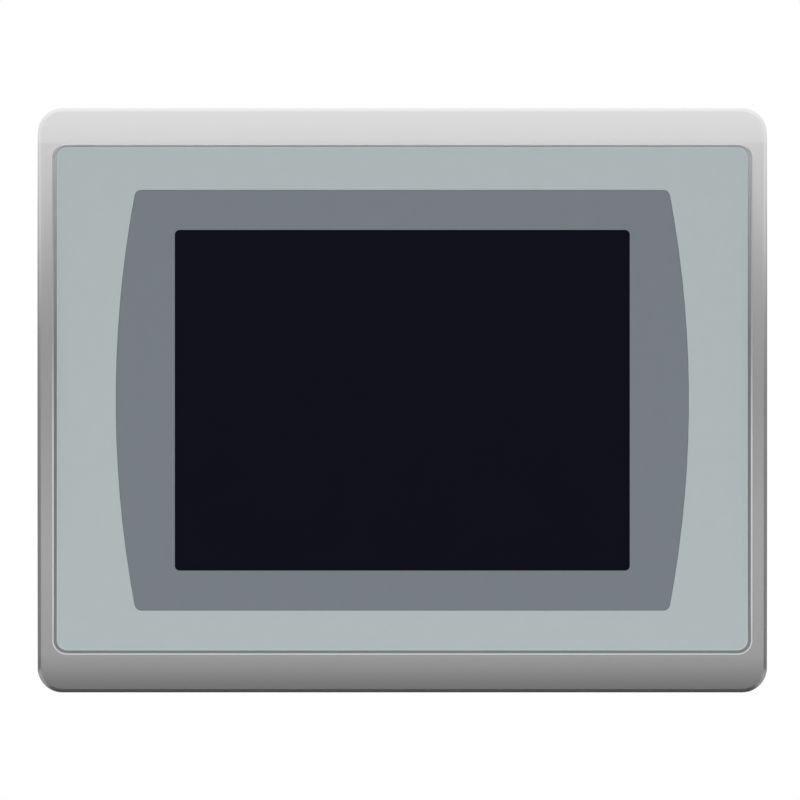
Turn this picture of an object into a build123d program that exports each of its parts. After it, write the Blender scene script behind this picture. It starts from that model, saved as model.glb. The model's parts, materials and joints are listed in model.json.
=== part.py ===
from build123d import *
import math
import os

# HMI touch panel of the 6.5 inch class, which clamps into a cut-out in a cabinet door.
#
# Axes: +X to the operator's right, +Y into the cabinet, +Z up. The origin is the centre of the panel seat,
# the plane where the sealing gasket meets the door. All sizes are in millimetres.
#
# From the front backwards: a die-cast bezel with a crowned face, two thin face plates, a touch screen and a
# display module, then a chassis that passes through the cut-out, a power board, a main board with its ports
# looking down through an I/O plate, and a vented back cover. Six cam levers, each on a shoe that slides in a
# keyhole slot of the chassis, pull the gasket against the door.

# Bezel
BEZEL_W = 212.0
BEZEL_H = 170.0
BEZEL_T = 6.0
BEZEL_CORNER = 7.2
CROWN_R = 3000.0  # the face bows gently from top to bottom
ROLL_Z = 74.6  # and rolls off faster above and below this height
ROLL_R = 95.0
EDGE_ROUND = 1.3
RIM_BACK_Y = -0.6  # rear plane of the bezel rim, which the gasket stands proud of
FACE_Y = -BEZEL_T

# Panel gasket, in a groove of the bezel
GASKET_OUTER = (206.0, 164.0)
GASKET_INNER = (187.0, 145.0)
GASKET_CORNERS = (5.5, 4.0)  # outer and inner
GASKET_FRONT_Y = -1.4
GASKET_SIDE_GAP = 0.1

# Face plates, flat and set into the bezel
RECESS_W = 202.4
RECESS_H = 147.4
RECESS_Z = 0.3  # the recess and the light plate sit a little high in the bezel
RECESS_CORNER = 3.7
RECESS_FLOOR_Y = -4.2
RECESS_CHAMFER = 0.45
OVERLAY_W = 200.9
OVERLAY_H = 146.4
OVERLAY_Z = 0.45
OVERLAY_CORNER = 3.1
OVERLAY_FRONT_Y = -4.72
OVERLAY_EDGE = 0.15
BORDER_FRONT_Y = -4.66
BORDER_W = 166.5  # widest, at mid height
BORDER_H = 122.2
BORDER_SIDE_R = 326.0
BORDER_CORNER = 2.0
BORDER_GAP = 0.06
WINDOW_W = 132.2
WINDOW_H = 99.0
WINDOW_CORNER = 1.4

# Touch screen
TOUCH_W = 146.0
TOUCH_H = 114.0
TOUCH_GAP = 0.3
TOUCH_CORNER = 1.5
TOUCH_FILM_Y = (-4.15, -3.95)
TOUCH_GLASS_Y = (-3.95, -2.1)
TOUCH_LEDGE_Y = -2.05
LCD_WINDOW_W = 136.0
LCD_WINDOW_H = 103.0
LCD_WINDOW_CORNER = 2.0
TOUCH_GASKET_W = 149.0
TOUCH_GASKET_H = 114.0

# Display module
LCD_W = 153.0
LCD_H = 116.0
LCD_FRONT_Y = 0.4
LCD_BACK_Y = 9.4
LCD_SHEET = 0.5
LCD_CELL_Y = (0.95, 3.0)
LIGHT_GUIDE_Y = (3.05, 7.6)
LCD_CELL_GAP = 0.6
LIGHT_GUIDE_GAP = 0.8
TRAY_GAP = 0.05
TRAY_WALL = 0.65

# Display carrier
CARRIER_W = 168.0
CARRIER_H = 131.0
CARRIER_Y = (9.4, 10.6)
CARRIER_NOTCH = 8.4
CARRIER_BOSS_SPOTS = [(x, z) for x in (-70, 70) for z in (-63.2, 63.2)]
CARRIER_BOSS_R = 2.8
CARRIER_CORNER = 3.0
CARRIER_RIBBON_Z = (18.0, 30.0)
CARRIER_TAIL_Z = (-66.0, -58.5)

# Flat flexible cables
TAIL_X = 46.0
TAIL_W = 12.0
TAIL_T = 0.2
TAIL_SLOT_Z = (-61.6, -56.0)
TAIL_ROUTE = [(-3.8, -57.05), (-3.8, -60.3), (24.0, -60.3), (35.0, -44.0), (42.4, -44.0)]
TAIL_BENDS = [1.2, 5.0, 5.0]
RIBBON_X = -48.0
RIBBON_W = 24.0
RIBBON_T = 0.3
RIBBON_ROOM = 4.0
RIBBON_ROUTE = [(11.4, 24.0), (18.0, 24.0), (30.0, 44.0), (42.4, 44.0)]
RIBBON_BENDS = [4.0, 4.0]
SOCKET_H = 4.0
SOCKET_EXTRA_W = 3.0

# Chassis
CHASSIS_W = 182.0
CHASSIS_H = 140.0
WALL = 2.0
CHASSIS_CORNER = 4.0
SHOULDER_Y = (36.0, 38.0)
OPENING_W = 146.0
OPENING_H = 104.0
SKIRT_GAP = 0.2
SKIRT_T = 2.4
SKIRT_BACK_Y = 4.0
POST_R = 3.2
POST_ROOT = 0.4  # how deep posts and bosses run into the wall that they stand on
POST_SPOTS = [(x, z) for x in (-85.5, 85.5) for z in (-64.5, 64.5)] + [(0, -64.5), (0, 64.5)]

# Back cover and I/O plate
COVER_W = 162.0
COVER_H = 120.0
COVER_WALL = 2.0
COVER_BACK_Y = 63.6
COVER_CORNER = 3.0
COVER_EDGE_ROUND = 1.2
COVER_POST_R = 3.0
COVER_POST_ROOM = 0.8
COVER_POST_SPOTS = [(x, z) for x in (-76, 76) for z in (-55.2, 0, 55)]
LABEL_W = 62.0
LABEL_H = 38.0
LABEL_Z = 0.0
LABEL_RECESS = 0.4
LABEL_T = 0.2
LABEL_GAP = 0.4
LABEL_CORNER = 1.5
VENT_W = 2.6
VENT_PITCH = 6.2
VENT_Y = 51.0  # middle of the vents in the top and left walls
WALL_VENT_L = 14.0
BACK_VENT_L = 18.0
BACK_VENTS = 19  # in each of the two rows
TOP_VENTS = 21
CHASSIS_VENT_L = 12.0
CHASSIS_VENT_Y = 27.0
CHASSIS_VENTS = 9
BACK_VENT_ZS = (-40.0, 40.0)
SIDE_VENT_ZS = (-32.0, -26.0, -20.0, 14.0, 20.0, 26.0, 32.0, 38.0)
CARD_SCOOP_R = 6.5
CARD_SCOOP_L = 9.0
IO_T = 1.2
IO_FLANGE_W = 140.0
IO_FLANGE_H = 7.5
IO_VENT_XS = (-62.0, 62.0)
IO_VENT_Y = 50.0
IO_VENT_W = 2.2
IO_VENT_L = 12.0
IO_VENT_PITCH = 5.0
IO_Z = -COVER_H / 2  # outer face of the I/O plate

# Boards
POWER_BOARD_Y = (20.0, 21.6)
POWER_BOARD_W = 118.0
POWER_BOARD_H = 74.0
POWER_BOARD_Z = 4.0
POWER_BOARD_SLOT_Z = (22.0, 45.0)  # for the ribbon to pass through
MAIN_BOARD_Y = (44.0, 45.6)
MAIN_BOARD_W = 154.0
MAIN_BOARD_Z = (-57.5, 50.0)
MAIN_HOLE_SPOTS = [(x, z) for x in (-68, 68) for z in (-42, 44)]
POWER_HOLE_SPOTS = [(x, POWER_BOARD_Z + z) for x in (-54, 54) for z in (-32, 32)]
STANDOFF_R = 2.9  # across corners
TRANSFORMER = ((-12, 10), (-4, 16))  # its places along X and Z
TRANSFORMER_H = 13.0
CHOKE = ((18, 30), (4, 16))
CHOKE_H = 8.0
CAPACITOR_R = 4.0
CAPACITOR_H = 14.0
CAPACITOR_SPOTS = [(x, z) for x in (36, 46) for z in (-14, -3)]
LINK = ((-20, 10), (-30, -24))
CHIP_X = 22.0
CHIP_Z = 14.0
CHIP_W = 21.0
CHIP_T = 2.2
SINK_W = 52.0
SINK_H = 44.0
SINK_FOOT = 2.5
FIN_COUNT = 9
FIN_PITCH = 6.0
FIN_T = 1.4
FIN_CLEARANCE = 1.5
MEMORY_SIZE = (9.0, 1.1, 11.0)
MEMORY_SPOTS = [(x, z) for x in (-22, -10) for z in (6, 22)]
BATTERY_X = -48.0
BATTERY_Z = 18.0
BATTERY_HOLDER_R = 12.0
BATTERY_HOLDER_H = 3.6
BATTERY_FLOOR = 1.2
BATTERY_NOTCH_W = 7.0
CELL_R = 10.0
CELL_T = 3.2
CELL_GAP = 0.15

# M3 screws
SHANK_R = 1.45
TAPPED_R = 1.5
CLEAR_R = 1.7
HEAD_R = 2.8
HEAD_H = 2.0
FLUSH_HEAD_R = 2.8
FLUSH_HEAD_H = 1.5
CROSS_W = 3.2
CROSS_SLOT = 0.8
BOARD_SCREW_REACH = 5.0
COVER_SCREW_REACH = 8.0
CHASSIS_SCREW_REACH = 9.0
STANDOFF_HOLE_DEPTH = 6.0
CHASSIS_HOLE_DEPTH = 12.0
COVER_HOLE_DEPTH = 9.0

# Ports on the bottom edge of the main board, each by the middle of its width
PORT_FACE_Z = -60.4
POWER_X = -34.0
ETHERNET_X = -11.0
USB_DEVICE_X = 6.5
USB_HOST_X = 23.0
RESET_X = 34.5
LIGHT_XS = (39.5, 43.5)
LIGHT_PIPE_R = 1.2
ETHERNET_SIZE = (16.0, 13.5, 21.0)  # width along X, height along Y, depth along Z
USB_DEVICE_SIZE = (12.0, 10.9, 16.0)
USB_HOST_SIZE = (13.2, 6.0, 14.5)
HEADER_SIZE = (18.6, 12.0, 10.6)
PLUG_MIDDLE = 5.9  # middle of the network plug, from the board
PLUG_W = 11.9
PLUG_H = 7.0
PLUG_DEPTH = 13.0
LATCH_STEPS = [(6.2, 5.1), (3.4, 6.2)]  # width of the latch key and its height from the plug's middle
SQUARE_PORT_W = 8.6
SQUARE_PORT_H = 7.9
SQUARE_PORT_DEPTH = 9.5
SQUARE_TONGUE = (5.6, 3.1)
FLAT_PORT_SHEET = 0.4
FLAT_PORT_LIFT = 0.3  # the shell's distance from the board
FLAT_PORT_DEPTH = 11.0
FLAT_TONGUE = (11.1, 1.8)
FLAT_TONGUE_SHIFT = 1.1
TONGUE_RECESS = 0.8
HEADER_WALL = 0.8
HEADER_DEPTH = 8.6
PIN_W = 1.0
PIN_RECESS = 1.2
PORT_GAP = 0.3
BACK_OF_BOARD = MAIN_BOARD_Y[1]
SD_SIZE = (28.0, 3.4, 26.6)  # along X, Y and Z
SD_Z = -23.0
SD_MOUTH_X = 78.6
CARD_W = 24.3
CARD_DEPTH = 25.0
CARD_Y = (BACK_OF_BOARD + 0.6, BACK_OF_BOARD + 3.0)
CARD_OPENING_W = 26.0  # in the back cover
BUTTON_R = 1.5
BUTTON_Y = BACK_OF_BOARD + 3.0
BUTTON_TRAVEL = 0.6
SWITCH_W = 6.0
SWITCH_FACE_Z = -56.0
SWITCH_BORE = 2.2
LIGHT_PIPE_TOP_Z = -54.0
LIGHT_FOOT_W = 3.0
LIGHT_FOOT_Z = (-56.0, -52.0)

# Removable terminal block for the supply wires, with push-in spring clamps
POLE_PITCH = 5.08
BLOCK_W = 17.2
BLOCK_Y = (46.9, 57.3)
BLOCK_TOP_Z = -53.0
BLOCK_SHOULDER_Z = -60.8
BLOCK_BOTTOM_Z = -75.0
BLOCK_NECK_Y = (47.9, 55.9)
BLOCK_NECK_W = 16.0
MARKING_W = 3.8  # the sunk field for each pole's marking
MARKING_Z = (-68.5, -63.5)
MARKING_DEPTH = 0.3
PIN_Y = sum(BLOCK_NECK_Y) / 2
CHAMBER_W = 4.0
CHAMBER_Y = (48.25, 56.15)
CHAMBER_Z = (-73.0, -62.2)
CONTACT_W = 3.0
CONTACT_Y = (48.3, 49.0)
CONTACT_Z = (-72.6, -60.9)
CONTACT_T = 0.7
CONTACT_GAP = 0.05
SLEEVE_W = 1.6
WIRE_HOLE_W = 3.2
WIRE_HOLE_Y = (49.1, 52.2)
SPRING_W = 3.2
SPRING_T = 0.35
SPRING_ROUTE = [(55.95, -62.6), (55.95, -71.0), (49.13, -65.4)]
SPRING_BEND_R = 0.8
RELEASE_W = 2.9
RELEASE_Y = (52.9, 55.2)
RELEASE_Z = (-75.4, -71.6)
RELEASE_GAP = 0.05
RELEASE_FLANGE_T = 0.6

# Clamping levers. Local axes: X along the chassis wall, Y depth, Z out of the wall.
SLOT_HALF_W = 3.0
SLOT_Y = (8.0, 35.4)
ENTRY_HALF_W = 5.4
ENTRY_Y = 24.4
RATCHET_PITCH = 2.0
RATCHET_CUT = 0.5
PIVOT_Y = 14.3  # pivot of a latched lever with a 2.5 mm door
SHOE_FLOAT = 0.15
SHOE_TOP = 2.65
SHOE_W = 13.0
SHOE_L = 14.0
SHOE_CORNER = 1.2
SHOE_NECK_W = 5.6
SHOE_HOOK_W = 10.0
SHOE_HOOK_L = 9.6
SHOE_HOOK_T = 1.5
PIVOT_R = 3.5
STAKE_R = 4.7
STAKE_W = (6.35, 7.2)
CAM_CLOSED_R = 11.8  # pivot to the foot that presses the door when latched
CAM_OPEN_R = 9.3
LEVER_W = (2.75, 7.4)
LEVER_REACH = 31.0
CAM_FOOT_X = (-3, 6)
ARM_ROOT = (4.0, 6.5)  # middle along the arm, and radius
ARM_TIP = (1.5, 3.6)  # middle across the arm, and radius
LEVER_EDGE_ROUND = 0.6
GRIP_RIBS = 3
GRIP_PITCH = 2.6
GRIP_START = 7.0  # from the tip's middle
ARM_POCKET = ((13, 20), (-0.8, 2.6))
SITE_X = 52.0
SITES = {
    "top_left": Pos(-SITE_X, 0, CHASSIS_H / 2),
    "top_right": Pos(SITE_X, 0, CHASSIS_H / 2),
    "bottom_left": Pos(-SITE_X, 0, -CHASSIS_H / 2) * Rot(0, 180, 0),
    "bottom_right": Pos(SITE_X, 0, -CHASSIS_H / 2) * Rot(0, 180, 0),
    "left": Pos(-CHASSIS_W / 2, 0, 0) * Rot(0, -90, 0),
    "right": Pos(CHASSIS_W / 2, 0, 0) * Rot(0, 90, 0),
}


# Shapes used more than once


def slab(outline, y_front, y_back):
    """A sketch drawn in X and Z, made solid between two depths."""
    face = Pos(0, y_front, 0) * (Plane.XZ * outline)
    return extrude(face, amount=y_back - y_front, dir=(0, 1, 0))


def block(x, y, z):
    """A box from a (low, high) pair along each axis."""
    size = Box(x[1] - x[0], y[1] - y[0], z[1] - z[0])
    return Pos(sum(x) / 2, sum(y) / 2, sum(z) / 2) * size


def span(middle, width):
    return (middle - width / 2, middle + width / 2)


def rod_y(radius, y, x=0.0, z=0.0):
    return Pos(x, sum(y) / 2, z) * Rot(90, 0, 0) * Cylinder(radius, y[1] - y[0])


def rod_z(radius, z, x=0.0, y=0.0):
    return Pos(x, y, sum(z) / 2) * Cylinder(radius, z[1] - z[0])


def slot_outline(width, length):
    """An upright slot with round ends."""
    return Rot(0, 0, 90) * SlotOverall(length, width)


def row(count, pitch):
    """Evenly spaced places about zero."""
    return [(i - (count - 1) / 2) * pitch for i in range(count)]


def cross_recess(y, x, z):
    return block(span(x, CROSS_SLOT), y, span(z, CROSS_W)) + block(span(x, CROSS_W), y, span(z, CROSS_SLOT))


def pan_screw(head_y, shank_end_y, x, z):
    """An M3 pan-head screw along Y, its cross recess looking back out of the cabinet side."""
    head = rod_y(HEAD_R, (head_y, head_y + HEAD_H), x, z)
    head = fillet(head.faces().sort_by(Axis.Y)[-1].edges(), 0.8)
    head -= cross_recess((head_y + HEAD_H - 1.1, head_y + HEAD_H), x, z)
    return head + rod_y(SHANK_R, (shank_end_y, head_y), x, z)


def cone_y(radii, y, x, z):
    """A cone along Y, from the first radius at the low end to the second at the high end."""
    return Pos(x, sum(y) / 2, z) * Rot(-90, 0, 0) * Cone(*radii, y[1] - y[0])


def flush_screw(face_y, shank_end_y, x, z):
    """An M3 countersunk screw along Y, its head just below the surface at face_y."""
    top_y = face_y - 0.1
    screw = cone_y((SHANK_R, FLUSH_HEAD_R), (top_y - FLUSH_HEAD_H, top_y), x, z)
    screw += rod_y(SHANK_R, (shank_end_y, top_y - FLUSH_HEAD_H + 0.1), x, z)
    return screw - cross_recess((top_y - 1.0, top_y), x, z)


def ring(outer_w, outer_h, inner_w, inner_h, y, outer_corner=2.0, inner_corner=2.0):
    outer = RectangleRounded(outer_w, outer_h, outer_corner)
    return slab(outer - RectangleRounded(inner_w, inner_h, inner_corner), *y)


# Front


def border_outline(gap=0.0):
    """The barrel shape round the display: flat top and bottom, and bowed sides."""
    side_r = BORDER_SIDE_R - gap
    middle = side_r - BORDER_W / 2 + gap
    outline = Rectangle(BORDER_W, BORDER_H - 2 * gap)
    for side in (-middle, middle):
        outline &= Pos(side, 0) * Circle(side_r)
    return fillet(outline.vertices(), BORDER_CORNER)


def tail_slot(y):
    """Room for the touch screen's tail to pass down behind the face plates."""
    return block(span(TAIL_X, TAIL_W + 2), y, TAIL_SLOT_Z)


def face_profile():
    """The bezel's crowned face from its side, in Y and Z: one long arc, and a tighter one at each end."""
    crown_middle_y = FACE_Y + CROWN_R
    lean = math.asin(ROLL_Z / CROWN_R)
    roll_middle_y = crown_middle_y - (CROWN_R - ROLL_R) * math.cos(lean)
    roll_middle_z = (CROWN_R - ROLL_R) * math.sin(lean)

    def on_crown(angle):
        return (crown_middle_y - CROWN_R * math.cos(angle), CROWN_R * math.sin(angle))

    def on_roll(angle):
        return (roll_middle_y - ROLL_R * math.cos(angle), roll_middle_z + ROLL_R * math.sin(angle))

    end = math.asin((BEZEL_H / 2 + 5 - roll_middle_z) / ROLL_R)
    roll = [on_roll(lean), on_roll((lean + end) / 2), on_roll(end)]
    mirrored = [(y, -z) for y, z in roll]
    face = ThreePointArc(on_crown(-lean), on_crown(0), on_crown(lean))
    rolls = ThreePointArc(*roll) + ThreePointArc(*mirrored)
    back = Polyline(roll[-1], (0, roll[-1][1]), (0, mirrored[-1][1]), mirrored[-1])
    return make_face(face + rolls + back)


def at_outer_rim(edge):
    middle = edge @ 0.5
    beyond_recess = abs(middle.X) > RECESS_W / 2 or abs(middle.Z) > ROLL_Z + 1
    return beyond_recess and middle.Y < -BEZEL_T / 2


def bezel():
    body = slab(RectangleRounded(BEZEL_W, BEZEL_H, BEZEL_CORNER), FACE_Y, RIM_BACK_Y)
    body &= extrude(Plane.YZ * face_profile(), amount=BEZEL_W, both=True)
    body = fillet(body.edges().filter_by(at_outer_rim), EDGE_ROUND)
    recess = Pos(0, RECESS_Z) * RectangleRounded(RECESS_W, RECESS_H, RECESS_CORNER)
    body -= slab(recess, FACE_Y - 1, RECESS_FLOOR_Y)
    crowned_face = body.faces().sort_by(Axis.Y)[0]
    body = chamfer(crowned_face.inner_wires()[0].edges(), RECESS_CHAMFER)
    pocket = RectangleRounded(TOUCH_W + 2 * TOUCH_GAP, TOUCH_H + 2 * TOUCH_GAP, TOUCH_CORNER + 0.5)
    body -= slab(pocket, FACE_Y, TOUCH_LEDGE_Y)
    body -= slab(RectangleRounded(LCD_WINDOW_W, LCD_WINDOW_H, LCD_WINDOW_CORNER), FACE_Y, 0)
    body -= ring(*GASKET_OUTER, *GASKET_INNER, (GASKET_FRONT_Y, 0), *GASKET_CORNERS)
    skirt_w = CHASSIS_W - 2 * WALL - 2 * SKIRT_GAP
    skirt_h = CHASSIS_H - 2 * WALL - 2 * SKIRT_GAP
    root_y = RIM_BACK_Y - POST_ROOT
    body += ring(skirt_w, skirt_h, skirt_w - 2 * SKIRT_T, skirt_h - 2 * SKIRT_T, (root_y, SKIRT_BACK_Y))
    for x, z in POST_SPOTS:
        body += rod_y(POST_R, (root_y, SHOULDER_Y[0]), x, z)
        body -= rod_y(TAPPED_R, (SHOULDER_Y[0] - CHASSIS_HOLE_DEPTH, SHOULDER_Y[0]), x, z)
    for x, z in CARRIER_BOSS_SPOTS:
        body += rod_y(CARRIER_BOSS_R, (root_y, CARRIER_Y[0]), x, z)
        body -= rod_y(TAPPED_R, (CARRIER_Y[0] - STANDOFF_HOLE_DEPTH, CARRIER_Y[0]), x, z)
    body -= tail_slot((FACE_Y, 0))
    return body


def front_overlay():
    """The light grey plate, open where the dark border sits."""
    outline = Pos(0, OVERLAY_Z) * RectangleRounded(OVERLAY_W, OVERLAY_H, OVERLAY_CORNER)
    plate = slab(outline - border_outline(), OVERLAY_FRONT_Y, RECESS_FLOOR_Y)
    outer_edges = plate.faces().sort_by(Axis.Y)[0].outer_wire().edges()
    return chamfer(outer_edges, OVERLAY_EDGE)


def display_border():
    outline = border_outline(BORDER_GAP) - RectangleRounded(WINDOW_W, WINDOW_H, WINDOW_CORNER)
    return slab(outline, BORDER_FRONT_Y, RECESS_FLOOR_Y)


def touch_film():
    return slab(RectangleRounded(TOUCH_W, TOUCH_H, TOUCH_CORNER), *TOUCH_FILM_Y)


def touch_glass():
    return slab(RectangleRounded(TOUCH_W, TOUCH_H, TOUCH_CORNER), *TOUCH_GLASS_Y)


def flat_flex(points, radii, x_middle, width, thickness):
    """A flat flexible circuit: a route in Y and Z, as wide as stated along X."""
    route = FilletPolyline(*[(y, z) for y, z in points], radius=radii)
    strip = Plane.YZ * trace(route, thickness)
    return Pos(x_middle - width / 2, 0, 0) * extrude(strip, amount=width, dir=(1, 0, 0))


def flex_socket(x, width, y, z):
    return block(span(x, width + SOCKET_EXTRA_W), y, span(z, SOCKET_H))


def touch_tail():
    """From the lower edge of the touch screen back to a socket on the front of the main board."""
    end_y, end_z = TAIL_ROUTE[-1]
    tail = flat_flex(TAIL_ROUTE, TAIL_BENDS, TAIL_X, TAIL_W, TAIL_T)
    return [tail, flex_socket(TAIL_X, TAIL_W, (end_y, MAIN_BOARD_Y[0]), end_z)]


def touch_gasket():
    return ring(TOUCH_GASKET_W, TOUCH_GASKET_H, LCD_WINDOW_W, LCD_WINDOW_H, (RIM_BACK_Y, LCD_FRONT_Y))


def panel_gasket():
    """The seal that meets the door, in a groove of the bezel. Its rear face is the panel seat."""
    outer = [side - 2 * GASKET_SIDE_GAP for side in GASKET_OUTER]
    inner = [side + 2 * GASKET_SIDE_GAP for side in GASKET_INNER]
    corners = (GASKET_CORNERS[0] - GASKET_SIDE_GAP, GASKET_CORNERS[1] + GASKET_SIDE_GAP)
    return ring(*outer, *inner, (GASKET_FRONT_Y, 0), *corners)


# Display module


def lcd_frame():
    """The pressed steel frame round the display cell."""
    frame = slab(Rectangle(LCD_W, LCD_H), LCD_FRONT_Y, LCD_BACK_Y - 1)
    inner = Rectangle(LCD_W - 2 * LCD_SHEET, LCD_H - 2 * LCD_SHEET)
    frame -= slab(inner, LCD_FRONT_Y + LCD_SHEET, LCD_BACK_Y)
    return frame - slab(Rectangle(WINDOW_W + 2, WINDOW_H + 2), 0, LCD_FRONT_Y + 1)


def inside_lcd(y, gap):
    clear = 2 * (LCD_SHEET + gap)
    return slab(Rectangle(LCD_W - clear, LCD_H - clear), *y)


def lcd_cell():
    return inside_lcd(LCD_CELL_Y, LCD_CELL_GAP)


def light_guide():
    return inside_lcd(LIGHT_GUIDE_Y, LIGHT_GUIDE_GAP)


def backlight_tray():
    """The white plastic tray that closes the module from behind."""
    tray = inside_lcd((LIGHT_GUIDE_Y[0], LCD_BACK_Y), TRAY_GAP)
    return tray - inside_lcd((0, LIGHT_GUIDE_Y[1] + TRAY_GAP), TRAY_GAP + TRAY_WALL)


def display_carrier():
    """Sheet steel behind the display, notched round the posts, with holes for the screws, ribbon and tail."""
    sheet = slab(RectangleRounded(CARRIER_W, CARRIER_H, CARRIER_CORNER), *CARRIER_Y)
    for x, z in POST_SPOTS:
        sheet -= block(span(x, CARRIER_NOTCH), CARRIER_Y, span(z, CARRIER_NOTCH))
    for x, z in CARRIER_BOSS_SPOTS:
        sheet -= rod_y(CLEAR_R, CARRIER_Y, x, z)
    sheet -= block(span(RIBBON_X, RIBBON_W + RIBBON_ROOM), CARRIER_Y, CARRIER_RIBBON_Z)
    return sheet - block(span(TAIL_X, TAIL_W + 3), CARRIER_Y, CARRIER_TAIL_Z)


def carrier_screws():
    return [pan_screw(CARRIER_Y[1], CARRIER_Y[0] - BOARD_SCREW_REACH, x, z) for x, z in CARRIER_BOSS_SPOTS]


def lcd_ribbon():
    """Flat cable from the display module to the front of the main board, with its two sockets."""
    start_y, start_z = RIBBON_ROUTE[0]
    end_y, end_z = RIBBON_ROUTE[-1]
    cable = flat_flex(RIBBON_ROUTE, RIBBON_BENDS, RIBBON_X, RIBBON_W, RIBBON_T)
    display_end = flex_socket(RIBBON_X, RIBBON_W, (LCD_BACK_Y, start_y), start_z)
    board_end = flex_socket(RIBBON_X, RIBBON_W, (end_y, MAIN_BOARD_Y[0]), end_z)
    return [cable, display_end, board_end]


# Boards and what they carry


def power_board():
    outline = Pos(0, POWER_BOARD_Z) * RectangleRounded(POWER_BOARD_W, POWER_BOARD_H, 2)
    board = slab(outline, *POWER_BOARD_Y)
    for x, z in POWER_HOLE_SPOTS:
        board -= rod_y(CLEAR_R, POWER_BOARD_Y, x, z)
    return board - block(span(RIBBON_X, RIBBON_W + RIBBON_ROOM), POWER_BOARD_Y, POWER_BOARD_SLOT_Z)


def power_components():
    """Transformer, four capacitors and a choke on the back of the power board."""
    back = POWER_BOARD_Y[1]
    transformer = block(TRANSFORMER[0], (back, back + TRANSFORMER_H), TRANSFORMER[1])
    choke = block(CHOKE[0], (back, back + CHOKE_H), CHOKE[1])
    capacitors = [rod_y(CAPACITOR_R, (back, back + CAPACITOR_H), x, z) for x, z in CAPACITOR_SPOTS]
    return [transformer, choke, *capacitors]


def board_link():
    """Stacking header that joins the two boards."""
    return block(LINK[0], (POWER_BOARD_Y[1], MAIN_BOARD_Y[0]), LINK[1])


def standoff(y, x, z):
    outline = Pos(x, z) * RegularPolygon(STANDOFF_R, 6)
    return slab(outline, *y) - rod_y(TAPPED_R, (y[1] - STANDOFF_HOLE_DEPTH, y[1]), x, z)


def board_standoffs():
    long_ones = [standoff((CARRIER_Y[1], MAIN_BOARD_Y[0]), x, z) for x, z in MAIN_HOLE_SPOTS]
    short_ones = [standoff((CARRIER_Y[1], POWER_BOARD_Y[0]), x, z) for x, z in POWER_HOLE_SPOTS]
    return long_ones + short_ones


def board_screws():
    groups = [(MAIN_BOARD_Y, MAIN_HOLE_SPOTS), (POWER_BOARD_Y, POWER_HOLE_SPOTS)]
    return [pan_screw(y[1], y[0] - BOARD_SCREW_REACH, x, z) for y, spots in groups for x, z in spots]


def main_board():
    """Notched where the posts of the back cover pass it."""
    board = block(span(0, MAIN_BOARD_W), MAIN_BOARD_Y, MAIN_BOARD_Z)
    for x, z in COVER_POST_SPOTS:
        board -= rod_y(COVER_POST_R + COVER_POST_ROOM, MAIN_BOARD_Y, x, z)
    for x, z in MAIN_HOLE_SPOTS:
        board -= rod_y(CLEAR_R, MAIN_BOARD_Y, x, z)
    return board


def processor():
    return block(span(CHIP_X, CHIP_W), (BACK_OF_BOARD, BACK_OF_BOARD + CHIP_T), span(CHIP_Z, CHIP_W))


def heat_sink():
    """Finned aluminium block on the processor."""
    foot_y = BACK_OF_BOARD + CHIP_T
    fin_y = (foot_y + SINK_FOOT / 2, COVER_BACK_Y - COVER_WALL - FIN_CLEARANCE)
    sink = block(span(CHIP_X, SINK_W), (foot_y, foot_y + SINK_FOOT), span(CHIP_Z, SINK_H))
    for x in row(FIN_COUNT, FIN_PITCH):
        sink += block(span(CHIP_X + x, FIN_T), fin_y, span(CHIP_Z, SINK_H))
    return sink


def memory_chips():
    width, thickness, height = MEMORY_SIZE
    y = (BACK_OF_BOARD, BACK_OF_BOARD + thickness)
    return [block(span(x, width), y, span(z, height)) for x, z in MEMORY_SPOTS]


def battery_holder():
    """A round plastic cradle, open on top, with a gap to lift the cell by."""
    open_y = (BACK_OF_BOARD + BATTERY_FLOOR, BACK_OF_BOARD + 2 * BATTERY_HOLDER_H)
    holder = rod_y(BATTERY_HOLDER_R, (BACK_OF_BOARD, BACK_OF_BOARD + BATTERY_HOLDER_H), BATTERY_X, BATTERY_Z)
    holder -= rod_y(CELL_R + CELL_GAP, open_y, BATTERY_X, BATTERY_Z)
    notch_z = (BATTERY_Z, BATTERY_Z + BATTERY_HOLDER_R + 1)
    return holder - block(span(BATTERY_X, BATTERY_NOTCH_W), open_y, notch_z)


def coin_cell():
    bottom_y = BACK_OF_BOARD + BATTERY_FLOOR
    cell = rod_y(CELL_R, (bottom_y, bottom_y + CELL_T), BATTERY_X, BATTERY_Z)
    return fillet(cell.faces().sort_by(Axis.Y)[-1].edges(), 0.4)


# Ports


def port_body(x, size, y_front=BACK_OF_BOARD):
    """A port's outer block: width, height off the board, depth up from the port face."""
    return block(span(x, size[0]), (y_front, y_front + size[1]), (PORT_FACE_Z, PORT_FACE_Z + size[2]))


def ethernet_jack():
    """Shielded socket. Its cavity is open downwards, with the stepped latch key away from the board."""
    middle_y = BACK_OF_BOARD + PLUG_MIDDLE
    z = (PORT_FACE_Z, PORT_FACE_Z + PLUG_DEPTH)
    jack = port_body(ETHERNET_X, ETHERNET_SIZE)
    jack -= block(span(ETHERNET_X, PLUG_W), span(middle_y, PLUG_H), z)
    for width, height in LATCH_STEPS:
        jack -= block(span(ETHERNET_X, width), (middle_y, middle_y + height), z)
    return jack


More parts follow.
